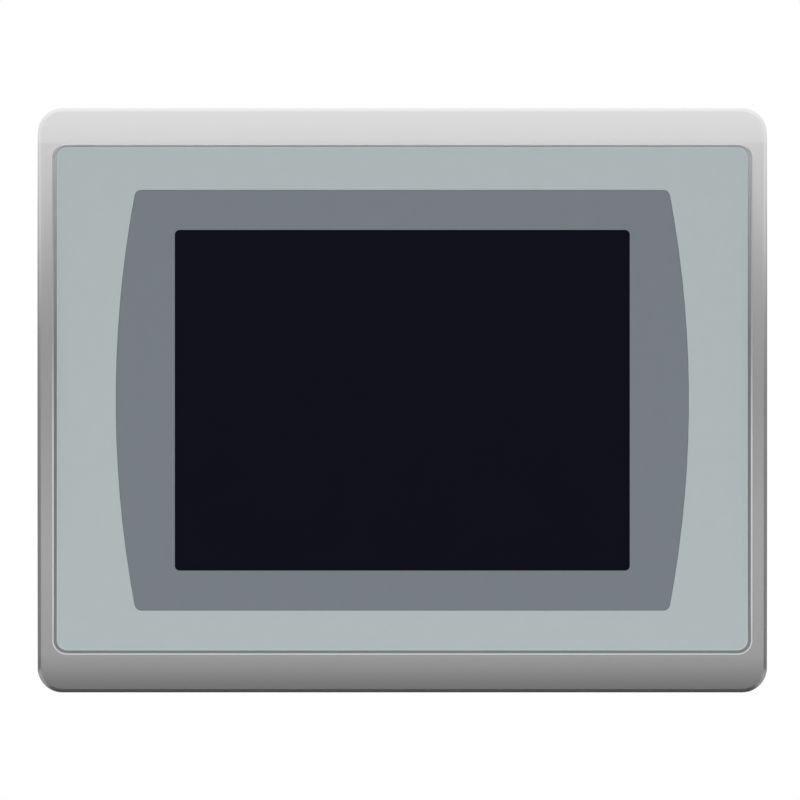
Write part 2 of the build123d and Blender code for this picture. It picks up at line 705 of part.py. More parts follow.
def usb_device_port():
    """Square socket with a tongue in its middle."""
    middle_y = BACK_OF_BOARD + USB_DEVICE_SIZE[1] / 2
    port = port_body(USB_DEVICE_X, USB_DEVICE_SIZE)
    cavity = RectangleRounded(SQUARE_PORT_W, SQUARE_PORT_H, 0.6)
    port -= Pos(USB_DEVICE_X, middle_y, PORT_FACE_Z) * extrude(cavity, amount=SQUARE_PORT_DEPTH)
    tongue_z = (PORT_FACE_Z + TONGUE_RECESS, PORT_FACE_Z + SQUARE_PORT_DEPTH + 1)
    return port + block(span(USB_DEVICE_X, SQUARE_TONGUE[0]), span(middle_y, SQUARE_TONGUE[1]), tongue_z)


def usb_host_port():
    """Flat socket: a folded steel shell round a tongue."""
    width, height, _ = USB_HOST_SIZE
    front_y = BACK_OF_BOARD + FLAT_PORT_LIFT
    middle_y = front_y + height / 2
    shell = port_body(USB_HOST_X, USB_HOST_SIZE, front_y)
    inner = (span(USB_HOST_X, width - 2 * FLAT_PORT_SHEET), span(middle_y, height - 2 * FLAT_PORT_SHEET))
    shell -= block(*inner, (PORT_FACE_Z, PORT_FACE_Z + FLAT_PORT_DEPTH))
    tongue_y = span(middle_y - FLAT_TONGUE_SHIFT, FLAT_TONGUE[1])
    tongue_z = (PORT_FACE_Z + TONGUE_RECESS, PORT_FACE_Z + FLAT_PORT_DEPTH + 1)
    tongue = block(span(USB_HOST_X, FLAT_TONGUE[0]), tongue_y, tongue_z)
    foot_z = (PORT_FACE_Z + 3, PORT_FACE_Z + FLAT_PORT_DEPTH + 3)
    foot = block(span(USB_HOST_X, FLAT_TONGUE[0] - 0.1), (BACK_OF_BOARD, front_y + 0.2), foot_z)
    return shell + tongue + foot


def sd_card_socket():
    """Low steel box for a memory card, its mouth at the right-hand wall of the back cover."""
    y = (BACK_OF_BOARD, BACK_OF_BOARD + SD_SIZE[1])
    socket = block((SD_MOUTH_X - SD_SIZE[0], SD_MOUTH_X), y, span(SD_Z, SD_SIZE[2]))
    return socket - block((SD_MOUTH_X - CARD_DEPTH, SD_MOUTH_X), CARD_Y, span(SD_Z, CARD_W))


def pole_xs():
    return [POWER_X + x for x in row(3, POLE_PITCH)]


def power_header():
    """Three-pole pin header in an open shroud, for the terminal block."""
    header = port_body(POWER_X, HEADER_SIZE)
    cavity_y = (BACK_OF_BOARD + HEADER_WALL, BACK_OF_BOARD + HEADER_SIZE[1] - HEADER_WALL)
    cavity_z = (PORT_FACE_Z, PORT_FACE_Z + HEADER_DEPTH)
    header -= block(span(POWER_X, HEADER_SIZE[0] - 2 * HEADER_WALL), cavity_y, cavity_z)
    pin_z = (PORT_FACE_Z + PIN_RECESS, PORT_FACE_Z + HEADER_DEPTH + 1)
    for x in pole_xs():
        header += block(span(x, PIN_W), span(PIN_Y, PIN_W), pin_z)
    return header


def terminal_block():
    """Its neck sits in the header. Each pole has a chamber with a wire hole and a release button's hole."""
    neck = block(span(POWER_X, BLOCK_NECK_W), BLOCK_NECK_Y, (BLOCK_SHOULDER_Z, BLOCK_TOP_Z))
    body = block(span(POWER_X, BLOCK_W), BLOCK_Y, (BLOCK_BOTTOM_Z, BLOCK_SHOULDER_Z))
    body = chamfer(body.edges().filter_by(Axis.X).group_by(Axis.Z)[0], 0.8)
    body += neck
    release_y = (RELEASE_Y[0] - RELEASE_GAP, RELEASE_Y[1] + RELEASE_GAP)
    floor_z = (BLOCK_BOTTOM_Z, CHAMBER_Z[0])
    marking_y = (BLOCK_Y[1] - MARKING_DEPTH, BLOCK_Y[1])
    for x in pole_xs():
        body -= block(span(x, CHAMBER_W), CHAMBER_Y, CHAMBER_Z)
        body -= block(span(x, WIRE_HOLE_W), WIRE_HOLE_Y, floor_z)
        body -= block(span(x, RELEASE_W + 2 * RELEASE_GAP), release_y, floor_z)
        body -= contact_space(x, CONTACT_GAP)
        body -= block(span(x, MARKING_W), marking_y, MARKING_Z)
    return body


def contact_space(x, gap=0.0):
    """The room one contact takes: a bar that the spring presses on, a link, and a sleeve round the pin."""
    bar_y = (CONTACT_Y[0] - gap, CONTACT_Y[1] + gap)
    sleeve_y = (PIN_Y - SLEEVE_W / 2 - gap, PIN_Y + SLEEVE_W / 2 + gap)
    link_z = (CONTACT_Z[1] - CONTACT_T - gap, CONTACT_Z[1] + gap)
    bar = block(span(x, CONTACT_W + 2 * gap), bar_y, (CONTACT_Z[0], link_z[1]))
    link = block(span(x, SLEEVE_W + 2 * gap), (bar_y[0], sleeve_y[1]), link_z)
    sleeve = block(span(x, SLEEVE_W + 2 * gap), sleeve_y, (link_z[0], BLOCK_TOP_Z))
    return bar + link + sleeve


def terminal_contacts():
    """One for each pole, which its spring presses the wire against."""
    contacts = []
    for x in pole_xs():
        pin_hole = block(span(x, PIN_W + 0.1), span(PIN_Y, PIN_W + 0.1), (PORT_FACE_Z, BLOCK_TOP_Z))
        contacts.append(contact_space(x) - pin_hole)
    return contacts


def clamp_springs():
    """A bent leaf for each pole. Its free end points inwards on the contact, so that it holds a wire."""
    return [flat_flex(SPRING_ROUTE, [SPRING_BEND_R], x, SPRING_W, SPRING_T) for x in pole_xs()]


def release_button(x):
    """Pressed with a screwdriver to bend its spring and free the wire. Its flange keeps it in the block."""
    button = block(span(x, RELEASE_W), RELEASE_Y, RELEASE_Z)
    flange_z = (CHAMBER_Z[0] + RELEASE_GAP, CHAMBER_Z[0] + RELEASE_GAP + RELEASE_FLANGE_T)
    button += block(span(x, CHAMBER_W - 0.4), (RELEASE_Y[0] - 0.2, RELEASE_Y[1] + 0.5), flange_z)
    notch_y = span(sum(RELEASE_Y) / 2, 0.7)
    return button - block(span(x, 2.1), notch_y, (RELEASE_Z[0], RELEASE_Z[0] + 0.5))


def reset_switch():
    """Push switch on the main board that the reset button works."""
    body_y = (BACK_OF_BOARD, BACK_OF_BOARD + SWITCH_W)
    body = block(span(RESET_X, SWITCH_W), body_y, (SWITCH_FACE_Z, SWITCH_FACE_Z + SWITCH_W))
    return body - rod_z(BUTTON_R + 0.06, (SWITCH_FACE_Z, SWITCH_FACE_Z + SWITCH_BORE), RESET_X, BUTTON_Y)


def reset_button():
    """Plunger, its end just inside the I/O plate, so that only a tool can press it."""
    stem_top = SWITCH_FACE_Z + SWITCH_BORE - BUTTON_TRAVEL - 0.2
    return rod_z(BUTTON_R, (IO_Z + 0.3, stem_top), RESET_X, BUTTON_Y)


def status_lights():
    """Two clear light pipes that end flush with the I/O plate."""
    pipes = []
    for x in LIGHT_XS:
        pipe = rod_z(LIGHT_PIPE_R, (IO_Z - 0.3, LIGHT_PIPE_TOP_Z), x, BUTTON_Y)
        foot_y = (BACK_OF_BOARD, BUTTON_Y + LIGHT_FOOT_W / 2)
        pipes.append(pipe + block(span(x, LIGHT_FOOT_W), foot_y, LIGHT_FOOT_Z))
    return pipes


# Housing


def keyhole():
    """The slot a shoe slides in, its wide entry at the back, with ratchet grooves across the narrow part."""
    through = (-WALL - 1, 1)
    cut = block((-SLOT_HALF_W, SLOT_HALF_W), SLOT_Y, through)
    cut += block((-ENTRY_HALF_W, ENTRY_HALF_W), (ENTRY_Y, SLOT_Y[1]), through)
    grooves = int((ENTRY_Y - SLOT_Y[0]) / RATCHET_PITCH)
    for i in range(grooves):
        middle = SLOT_Y[0] + (i + 0.5) * RATCHET_PITCH
        cut += block((-ENTRY_HALF_W, ENTRY_HALF_W), span(middle, RATCHET_CUT), (-0.5, 1))
    return cut


def chassis():
    """The walls that pass through the cut-out, with a shoulder behind that carries the back cover."""
    body = slab(RectangleRounded(CHASSIS_W, CHASSIS_H, CHASSIS_CORNER), RIM_BACK_Y, SHOULDER_Y[1])
    body = fillet(body.faces().sort_by(Axis.Y)[-1].edges(), 1.0)
    inner = RectangleRounded(CHASSIS_W - 2 * WALL, CHASSIS_H - 2 * WALL, CHASSIS_CORNER - WALL)
    body -= slab(inner, RIM_BACK_Y, SHOULDER_Y[0])
    body -= slab(Rectangle(OPENING_W, OPENING_H), SHOULDER_Y[0], SHOULDER_Y[1])
    for x, z in POST_SPOTS:
        body -= rod_y(CLEAR_R, SHOULDER_Y, x, z)
    for x, z in COVER_POST_SPOTS:
        body += rod_y(COVER_POST_R, (SHOULDER_Y[0] + 1, COVER_BACK_Y - COVER_WALL), x, z)
        body -= rod_y(TAPPED_R, (COVER_BACK_Y - COVER_WALL - COVER_HOLE_DEPTH, COVER_BACK_Y), x, z)
    for place in SITES.values():
        body -= place * keyhole()
    vent = extrude(slot_outline(VENT_W, CHASSIS_VENT_L), amount=2 * WALL, both=True)
    for x in row(CHASSIS_VENTS, VENT_PITCH):
        body -= Pos(x, CHASSIS_VENT_Y, CHASSIS_H / 2) * vent
    return body


def chassis_screws():
    return [pan_screw(SHOULDER_Y[1], SHOULDER_Y[0] - CHASSIS_SCREW_REACH, x, z) for x, z in POST_SPOTS]


def io_plate():
    """The plated steel wall under the boards, with an opening for each port."""
    half_w = COVER_W / 2 - COVER_WALL - 0.1
    y = (SHOULDER_Y[1], COVER_BACK_Y - COVER_WALL - 0.2)
    z = (IO_Z, IO_Z + IO_T)
    plate = block((-half_w, half_w), y, z)
    plate += block((-IO_FLANGE_W / 2, IO_FLANGE_W / 2), (y[0], y[0] + IO_T), (IO_Z, IO_Z + IO_FLANGE_H))
    openings = [
        (POWER_X, HEADER_SIZE, BACK_OF_BOARD),
        (ETHERNET_X, ETHERNET_SIZE, BACK_OF_BOARD),
        (USB_DEVICE_X, USB_DEVICE_SIZE, BACK_OF_BOARD),
        (USB_HOST_X, USB_HOST_SIZE, BACK_OF_BOARD + FLAT_PORT_LIFT),
    ]
    for x, size, front in openings:
        hole_y = (front - PORT_GAP, front + size[1] + PORT_GAP)
        plate -= block(span(x, size[0] + 2 * PORT_GAP), hole_y, z)
    plate -= rod_z(BUTTON_R + 0.2, z, RESET_X, BUTTON_Y)
    for x in LIGHT_XS:
        plate -= rod_z(LIGHT_PIPE_R + 0.15, z, x, BUTTON_Y)
    vent = extrude(slot_outline(IO_VENT_W, IO_VENT_L), amount=2 * IO_T)
    for middle in IO_VENT_XS:
        for x in row(4, IO_VENT_PITCH):
            plate -= Pos(middle + x, IO_VENT_Y, IO_Z) * vent
    return plate


def back_cover():
    """Vented cover, open underneath where the I/O plate closes it."""
    inner_back = COVER_BACK_Y - COVER_WALL
    head_y = (COVER_BACK_Y - FLUSH_HEAD_H - 0.2, COVER_BACK_Y)
    shell = slab(RectangleRounded(COVER_W, COVER_H, COVER_CORNER), SHOULDER_Y[1], COVER_BACK_Y)
    shell = fillet(shell.faces().sort_by(Axis.Y)[-1].edges(), COVER_EDGE_ROUND)
    inner_w = COVER_W - 2 * COVER_WALL
    shell -= block(span(0, inner_w), (SHOULDER_Y[1], inner_back), (-COVER_H, COVER_H / 2 - COVER_WALL))
    label_spot = Pos(0, LABEL_Z) * RectangleRounded(LABEL_W, LABEL_H, LABEL_CORNER)
    shell -= slab(label_spot, COVER_BACK_Y - LABEL_RECESS, COVER_BACK_Y + 1)
    for x, z in COVER_POST_SPOTS:
        shell -= rod_y(CLEAR_R, (inner_back, COVER_BACK_Y), x, z)
        shell -= cone_y((CLEAR_R, FLUSH_HEAD_R + 0.3), head_y, x, z)
    for z in BACK_VENT_ZS:
        for x in row(BACK_VENTS, VENT_PITCH):
            shell -= slab(Pos(x, z) * slot_outline(VENT_W, BACK_VENT_L), inner_back - 1, COVER_BACK_Y + 1)
    top_vent = extrude(slot_outline(VENT_W, WALL_VENT_L), amount=2 * COVER_WALL, both=True)
    for x in row(TOP_VENTS, VENT_PITCH):
        shell -= Pos(x, VENT_Y, COVER_H / 2) * top_vent
    for z in SIDE_VENT_ZS:
        shell -= block((-COVER_W, -COVER_W / 4), span(VENT_Y, WALL_VENT_L), span(z, VENT_W))
    card_y = (BACK_OF_BOARD, BACK_OF_BOARD + SD_SIZE[1])
    card_mouth = block((COVER_W / 4, COVER_W), card_y, span(SD_Z, CARD_OPENING_W))
    scoop = Rot(90, 0, 0) * Cylinder(CARD_SCOOP_R, CARD_SCOOP_L)
    finger_scoop = Pos(COVER_W / 2 + CARD_SCOOP_R / 2, BACK_OF_BOARD + 2, SD_Z) * scoop
    return shell - card_mouth - finger_scoop


def back_cover_screws():
    shank_end_y = COVER_BACK_Y - COVER_WALL - COVER_SCREW_REACH
    return [flush_screw(COVER_BACK_Y, shank_end_y, x, z) for x, z in COVER_POST_SPOTS]


def rating_label():
    """A blank plate in the shallow recess of the back cover."""
    plate = RectangleRounded(LABEL_W - 2 * LABEL_GAP, LABEL_H - 2 * LABEL_GAP, LABEL_CORNER - 0.3)
    front_y = COVER_BACK_Y - LABEL_RECESS
    return slab(Pos(0, LABEL_Z) * plate, front_y, front_y + LABEL_T)


# Clamping levers


def lever_shoe():
    """Hooks behind the wall, slides along the slot and carries the lever on a staked pivot."""
    hook_top = -WALL - 0.1
    shoe = block(span(0, SHOE_W), span(PIVOT_Y, SHOE_L), (SHOE_FLOAT, SHOE_TOP))
    shoe = chamfer(shoe.edges().filter_by(Axis.Z), SHOE_CORNER)
    shoe += block(span(0, SHOE_NECK_W), span(PIVOT_Y, SHOE_HOOK_L), (hook_top, SHOE_FLOAT))
    shoe += block(span(0, SHOE_HOOK_W), span(PIVOT_Y, SHOE_HOOK_L), (hook_top - SHOE_HOOK_T, hook_top))
    shoe += rod_z(PIVOT_R, (SHOE_TOP, STAKE_W[0]), y=PIVOT_Y)
    stake = rod_z(STAKE_R, STAKE_W, y=PIVOT_Y)
    return shoe + chamfer(stake.faces().sort_by(Axis.Z)[-1].edges(), 0.4)


def cam_lever():
    """Latched: the flat of the cam presses the door and the arm lies along it. It opens by a quarter turn."""
    top = LEVER_W[1]
    above = top + 1
    foot = Line((CAM_FOOT_X[0], -CAM_CLOSED_R), (CAM_FOOT_X[1], -CAM_CLOSED_R))
    cam = make_hull([*Circle(CAM_OPEN_R).edges(), *foot.edges()])
    root = Pos(ARM_ROOT[0], 0) * Circle(ARM_ROOT[1])
    tip = Pos(LEVER_REACH, ARM_TIP[0]) * Circle(ARM_TIP[1])
    arm = make_hull([*root.edges(), *tip.edges()])
    lever = Pos(0, 0, LEVER_W[0]) * extrude(cam + arm, amount=top - LEVER_W[0])
    lever = fillet(lever.faces().sort_by(Axis.Z)[-1].edges(), LEVER_EDGE_ROUND)
    for i in range(GRIP_RIBS):
        x = LEVER_REACH - GRIP_START + GRIP_PITCH * i
        lever -= block(span(x, 0.9), (-CAM_OPEN_R, CAM_OPEN_R), (top - 0.5, above))
    lever -= block(*ARM_POCKET, (top - 1.6, above))
    lever -= rod_z(PIVOT_R + 0.06, (0, above))
    lever -= rod_z(STAKE_R + 0.15, (STAKE_W[0] - 0.05, above))
    return Pos(0, PIVOT_Y, 0) * lever


# Every sub-part, by the name of its node

PARTS = {
    "bezel": bezel,
    "front_overlay": front_overlay,
    "display_border": display_border,
    "touch_film": touch_film,
    "touch_glass": touch_glass,
    "touch_tail": touch_tail,
    "touch_gasket": touch_gasket,
    "panel_gasket": panel_gasket,
    "lcd_frame": lcd_frame,
    "lcd_cell": lcd_cell,
    "light_guide": light_guide,
    "backlight_tray": backlight_tray,
    "display_carrier": display_carrier,
    "carrier_screws": carrier_screws,
    "lcd_ribbon": lcd_ribbon,
    "power_board": power_board,
    "power_components": power_components,
    "board_link": board_link,
    "main_board": main_board,
    "board_standoffs": board_standoffs,
    "board_screws": board_screws,
    "processor": processor,
    "heat_sink": heat_sink,
    "memory_chips": memory_chips,
    "battery_holder": battery_holder,
    "coin_cell": coin_cell,
    "ethernet_jack": ethernet_jack,
    "usb_device_port": usb_device_port,
    "usb_host_port": usb_host_port,
    "sd_card_socket": sd_card_socket,
    "power_header": power_header,
    "terminal_block": terminal_block,
    "terminal_contacts": terminal_contacts,
    "clamp_springs": clamp_springs,
    "reset_switch": reset_switch,
    "reset_button": reset_button,
    "status_lights": status_lights,
    "chassis": chassis,
    "chassis_screws": chassis_screws,
    "io_plate": io_plate,
    "back_cover": back_cover,
    "back_cover_screws": back_cover_screws,
    "rating_label": rating_label,
}


def write(name, shape):
    """Writes one node. A list becomes a group of separate solids."""
    group = Compound(children=list(shape)) if isinstance(shape, list) else shape
    export_step(group, f"parts/{name}.step")


os.makedirs("parts", exist_ok=True)
for name, make in PARTS.items():
    write(name, make())
for number, pole_x in enumerate(pole_xs(), start=1):
    write(f"release_button_{number}", release_button(pole_x))
for site, place in SITES.items():
    write(f"lever_shoe_{site}", place * lever_shoe())
    write(f"cam_lever_{site}", place * cam_lever())
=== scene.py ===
import json
import math

import bmesh
import bpy
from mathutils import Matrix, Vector


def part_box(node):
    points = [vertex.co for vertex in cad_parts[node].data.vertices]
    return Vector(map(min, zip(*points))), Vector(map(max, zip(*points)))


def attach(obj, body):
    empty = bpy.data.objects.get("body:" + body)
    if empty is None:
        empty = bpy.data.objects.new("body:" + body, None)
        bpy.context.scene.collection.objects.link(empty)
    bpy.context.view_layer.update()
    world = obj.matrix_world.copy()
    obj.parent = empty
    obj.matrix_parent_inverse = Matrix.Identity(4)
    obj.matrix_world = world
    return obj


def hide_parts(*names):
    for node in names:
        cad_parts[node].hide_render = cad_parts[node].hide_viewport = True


# HMI touch panel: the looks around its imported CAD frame. Metres, +Z up, the screen faces -Y.

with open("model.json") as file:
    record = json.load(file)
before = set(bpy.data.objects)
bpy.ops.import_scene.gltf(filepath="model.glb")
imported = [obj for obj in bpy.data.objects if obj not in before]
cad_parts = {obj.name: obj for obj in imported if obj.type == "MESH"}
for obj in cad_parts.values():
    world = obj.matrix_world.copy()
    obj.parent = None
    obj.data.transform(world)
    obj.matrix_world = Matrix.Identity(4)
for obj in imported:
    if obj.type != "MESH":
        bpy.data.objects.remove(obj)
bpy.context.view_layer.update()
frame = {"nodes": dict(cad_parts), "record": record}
NODES = frame["nodes"]
MM = 0.001
MICRON = 0.000001


# Camera: straight on to the screen with a long lens, the bezel a little right of the middle

CAMERA_DISTANCE = 1.5
FRAME_WIDTH = 0.2322  # what the picture's width covers at the bezel's face
CAMERA_X = -0.00067
CAMERA_Z = 0.00007
SENSOR = 36.0  # millimetres


def make_camera():
    data = bpy.data.cameras.new("camera")
    data.sensor_width = SENSOR
    data.lens = SENSOR * CAMERA_DISTANCE / FRAME_WIDTH
    data.clip_start = 0.05
    data.clip_end = 50
    camera = bpy.data.objects.new("camera", data)
    camera.location = (CAMERA_X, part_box("bezel")[0].y - CAMERA_DISTANCE, CAMERA_Z)
    camera.rotation_euler = (math.radians(90), 0, 0)
    bpy.context.scene.collection.objects.link(camera)
    bpy.context.scene.camera = camera


# Node graphs


def srgb(red, green, blue):
    """A colour stated in 0 to 255 display values, as the shader's linear colour."""
    shown = (red / 255, green / 255, blue / 255)
    linear = [c / 12.92 if c <= 0.04045 else ((c + 0.055) / 1.055) ** 2.4 for c in shown]
    return (*linear, 1.0)


class Graph:
    """Adds nodes to one material and joins them."""

    def __init__(self, name):
        self.material = bpy.data.materials.new(name)
        self.material.use_nodes = True
        self.tree = self.material.node_tree
        self.shader = self.tree.nodes["Principled BSDF"]
        self.place = self.add("ShaderNodeTexCoord").outputs["Object"]

    def add(self, kind, inputs=(), **settings):
        node = self.tree.nodes.new(kind)
        for key, value in settings.items():
            setattr(node, key, value)
        for key, value in dict(inputs).items():
            self.feed(node.inputs[key], value)
        return node

    def feed(self, socket, value):
        if isinstance(value, bpy.types.NodeSocket):
            self.tree.links.new(value, socket)
        else:
            socket.default_value = value

    def set(self, **values):
        for key, value in values.items():
            self.feed(self.shader.inputs[key.replace("_", " ")], value)

    def noise(self, scale, detail=4.0, roughness=0.55, stretch=None):
        place = self.place
        if stretch:
            place = self.add("ShaderNodeMapping", {"Vector": place, "Scale": stretch}).outputs["Vector"]
        inputs = {"Vector": place, "Scale": scale, "Detail": detail, "Roughness": roughness}
        return self.add("ShaderNodeTexNoise", inputs).outputs["Fac"]

    def cells(self, scale):
        inputs = {"Vector": self.place, "Scale": scale}
        return self.add("ShaderNodeTexVoronoi", inputs, feature="F1").outputs["Distance"]

    def stripes(self, scale, direction):
        inputs = {"Vector": self.place, "Scale": scale}
        return self.add("ShaderNodeTexWave", inputs, bands_direction=direction).outputs["Fac"]

    def spread(self, value, low, high, start=0.3, end=0.7):
        """The value, taken from start..end to low..high."""
        inputs = {"Value": value, "From Min": start, "From Max": end, "To Min": low, "To Max": high}
        return self.add("ShaderNodeMapRange", inputs).outputs["Result"]

    def blend(self, factor, first, second):
        node = self.add("ShaderNodeMix", data_type="RGBA")
        self.feed(node.inputs[0], factor)
        self.feed(node.inputs[6], first)
        self.feed(node.inputs[7], second)
        return node.outputs[2]

    def tint(self, colour, factor, amount):
        """The colour, darker and lighter by the amount as the factor goes from 0 to 1."""
        dark = [c * (1 - amount) for c in colour[:3]] + [1.0]
        light = [min(1.0, c * (1 + amount)) for c in colour[:3]] + [1.0]
        return self.blend(factor, dark, light)

    def bump(self, height, distance, after=None):
        inputs = {"Height": height, "Distance": distance, "Strength": 1.0}
        if after is not None:
            inputs["Normal"] = after
        return self.add("ShaderNodeBump", inputs).outputs["Normal"]

    def axis(self, name):
        return self.add("ShaderNodeSeparateXYZ", {"Vector": self.place}).outputs[name]

    def math(self, operation, first, second=0.0):
        node = self.add("ShaderNodeMath", operation=operation)
        self.feed(node.inputs[0], first)
        self.feed(node.inputs[1], second)
        return node.outputs[0]

    def above(self, value, edge, soft):
        """0 below the edge and 1 above it, over the soft width."""
        return self.spread(value, 0.0, 1.0, edge - soft / 2, edge + soft / 2)

    def both(self, first, second):
        return self.math("MULTIPLY", first, second)

    def within(self, low, high, corner=0.0, soft=0.0001):
        """1 inside a rectangle of X and Z with rounded corners, 0 outside it."""
        squares = []
        for name, start, end in (("X", low[0], high[0]), ("Z", low[1], high[1])):
            from_middle = self.math("ABSOLUTE", self.math("SUBTRACT", self.axis(name), (start + end) / 2))
            past = self.math("SUBTRACT", from_middle, (end - start) / 2 - corner)
            past_corner = self.math("MAXIMUM", past, 0.0)
            squares.append(self.both(past_corner, past_corner))
        reach = self.math("SQRT", self.math("ADD", *squares))
        return self.math("SUBTRACT", 1.0, self.above(reach, corner, soft))

    def inside(self, low, high, soft=0.00005):
        """1 inside a box, 0 outside it."""
        filled = 1.0
        for name, start, end in zip("XYZ", low, high):
            place = self.axis(name)
            span = self.math("SUBTRACT", self.above(place, start, soft), self.above(place, end, soft))
            filled = self.both(filled, span)
        return filled

    def rounded(self, radius):
        """The surface's normal, with its sharp edges rounded to the radius."""
        return self.add("ShaderNodeBevel", {"Radius": radius}, samples=6).outputs["Normal"]

    def edge(self, radius):
        """1 along sharp edges, 0 on flats."""
        flat = self.add("ShaderNodeNewGeometry").outputs["Normal"]
        turn = self.add("ShaderNodeVectorMath", {0: self.rounded(radius), 1: flat}, operation="DOT_PRODUCT")
        return self.spread(turn.outputs["Value"], 1.0, 0.0, 0.8, 0.98)


# The bezel's recess with its cut edge, from the plate that lies in it. They bound the painted light and shade
# on the bezel and the plate.

PLATE_LOW, PLATE_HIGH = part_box("front_overlay")
RECESS_LOW = (PLATE_LOW.x - 1.2 * MM, PLATE_LOW.z - 1.1 * MM)
RECESS_HIGH = (PLATE_HIGH.x + 1.2 * MM, PLATE_HIGH.z + 0.8 * MM)
RECESS_CORNER = 4.15 * MM
RECESS_LIP_Y = PLATE_LOW.y - 0.15 * MM
RIM_SIDE_Y = PLATE_LOW.y + 1.9 * MM  # behind this the bezel's rim is no longer seen from the front
PLATE_CORNER = 3.1 * MM
# How far in from the plate's outline its painted edge highlight reaches.
PLATE_HIGHLIGHT_INSET = 0.35 * MM

MATERIALS = {}  # the material functions by name
MADE = {}  # the materials made so far


def material(make):
    """Registers a material function under its own name."""
    MATERIALS[make.__name__] = make
    return make


def finish_of(name):
    """The material of that name, made when it is first asked for."""
    if name not in MADE:
        if name in PLASTICS:
            MADE[name] = plastic(name, *PLASTICS[name])
        elif name in METALS:
            MADE[name] = metal(name, *METALS[name])
        else:
            MADE[name] = MATERIALS[name]()
    return MADE[name]


@material
def silver_paint():
    """Silver metallic paint, with painted light on the cut edge round the recess and painted shade on the
    recess floor, dull in the recess and duller behind.
    """
    g = Graph("silver_paint")
    flake = g.noise(9000, 2.0, 0.6)
    cloud = g.noise(45, 3.0)
    paint = g.tint(srgb(206, 206, 206), g.spread(flake, 0, 1, 0.25, 0.75), 0.05)
    in_recess = g.within(RECESS_LOW, RECESS_HIGH, RECESS_CORNER)
    height = g.axis("Z")
    # Painted light on the cut edge's sides: lighter low down and darker higher up.
    half_way_up = g.spread(height, 0.0, 1.0, -15 * MM, 20 * MM)
    side_edge_painted_light = g.blend(half_way_up, srgb(204, 205, 206), srgb(156, 158, 159))
    # Painted highlight: the cut edge above the plate's top is painted white.
    painted_edge_light = g.blend(g.above(height, PLATE_HIGH.z, 2 * MM), side_edge_painted_light, srgb(255, 255, 255))
    # Painted shade in the recess floor: darker towards the bottom, lighter higher up.
    upper = g.spread(height, 0.0, 1.0, 15 * MM, 70 * MM)
    recess_floor_painted_shade = g.blend(upper, srgb(142, 144, 145), srgb(190, 191, 192))
    deep = g.above(g.axis("Y"), RECESS_LIP_Y, 0.25 * MM)
    base = g.blend(in_recess, paint, g.blend(deep, painted_edge_light, recess_floor_painted_shade))
    behind = g.above(g.axis("Y"), RIM_SIDE_Y, 0.4 * MM)
    dull = g.math("MAXIMUM", in_recess, g.both(behind, 0.5))
    g.set(Base_Color=base, Metallic=g.spread(dull, 0.92, 0.0, 0.0, 1.0))
    g.set(Roughness=g.math("ADD", g.spread(cloud, 0.11, 0.13), g.spread(behind, 0.0, 0.3, 0.0, 1.0)))
    g.set(Normal=g.bump(flake, 0.6 * MICRON, after=g.bump(g.noise(700, 2.0), 1.5 * MICRON)))
    return g.material


def matte_face(name, colour, low=None, high=None):
    """A printed, lightly grained film. low and high bound what lies inside its cut edge, which is painted
    lighter as a highlight.
    """
    g = Graph(name)
    grain = g.noise(6500, 3.0, 0.6)
    cloud = g.noise(30, 3.0)
    base = g.tint(colour, g.spread(g.noise(220, 5.0), 0, 1), 0.012)
    if low:
        # Painted highlight: the cut edge is painted 12% lighter than the face.
        painted_edge_light = [c * 1.12 for c in colour[:3]] + [1.0]
        base = g.blend(g.within(low, high, PLATE_CORNER, 0.3 * MM), painted_edge_light, base)
    g.set(Base_Color=base, Roughness=g.spread(cloud, 0.5, 0.56))
    g.set(Specular_IOR_Level=0.35, Normal=g.bump(grain, 6 * MICRON))
    return g.material


@material
def light_grey_face():
    low = (PLATE_LOW.x + PLATE_HIGHLIGHT_INSET, PLATE_LOW.z + PLATE_HIGHLIGHT_INSET)
    high = (PLATE_HIGH.x - PLATE_HIGHLIGHT_INSET, PLATE_HIGH.z - PLATE_HIGHLIGHT_INSET)
    return matte_face("light_grey_face", srgb(168, 178, 179), low, high)


@material
def dark_grey_face():
    return matte_face("dark_grey_face", srgb(111, 118.5, 124.5))


@material
def screen_film():
    g = Graph("screen_film")
    grain = g.noise(14000, 2.0)
    base = g.tint(srgb(9, 9, 22.5), g.spread(g.noise(60, 3.0), 0, 1), 0.05)
    g.set(Base_Color=base, Roughness=g.spread(g.noise(25, 3.0), 0.3, 0.36), Specular_IOR_Level=0.055)
    g.set(Normal=g.bump(grain, 3 * MICRON))
    return g.material


def plastic(name, colour, roughness=0.5, grain_scale=2600, grain=10 * MICRON):
    """Moulded plastic with a fine texture and edges rubbed a little lighter."""
    g = Graph(name)
    round_off = 0.25 * MM
    fine = g.noise(grain_scale, 3.0, 0.6)
    base = g.tint(colour, g.spread(g.noise(70, 4.0), 0, 1), 0.05)
    rubbed = g.both(g.edge(round_off), g.spread(g.noise(500, 4.0), 0.2, 1.0))
    worn = g.blend(rubbed, base, [min(1, c * 1.5 + 0.01) for c in colour[:3]] + [1.0])
    g.set(Base_Color=worn, Roughness=g.spread(g.noise(160, 4.0), roughness - 0.05, roughness + 0.07))
    g.set(Normal=g.bump(fine, grain, after=g.rounded(round_off)))
    return g.material


METAL_ROUND = 0.12 * MM
PORT_STEEL = srgb(205, 203, 198)


def metal(name, colour, roughness=0.32, brushed=None):
    """Bare or plated metal. brushed stretches its grain along one axis."""
    g = Graph(name)
    grain = g.noise(3000, 3.0, 0.6, stretch=brushed)
    base = g.tint(colour, g.spread(g.noise(110, 5.0), 0, 1), 0.06)
    g.set(Base_Color=base, Metallic=1.0, Roughness=g.spread(grain, roughness - 0.05, roughness + 0.08))
    g.set(Normal=g.bump(grain, 3 * MICRON, after=g.rounded(METAL_ROUND)))
    return g.material


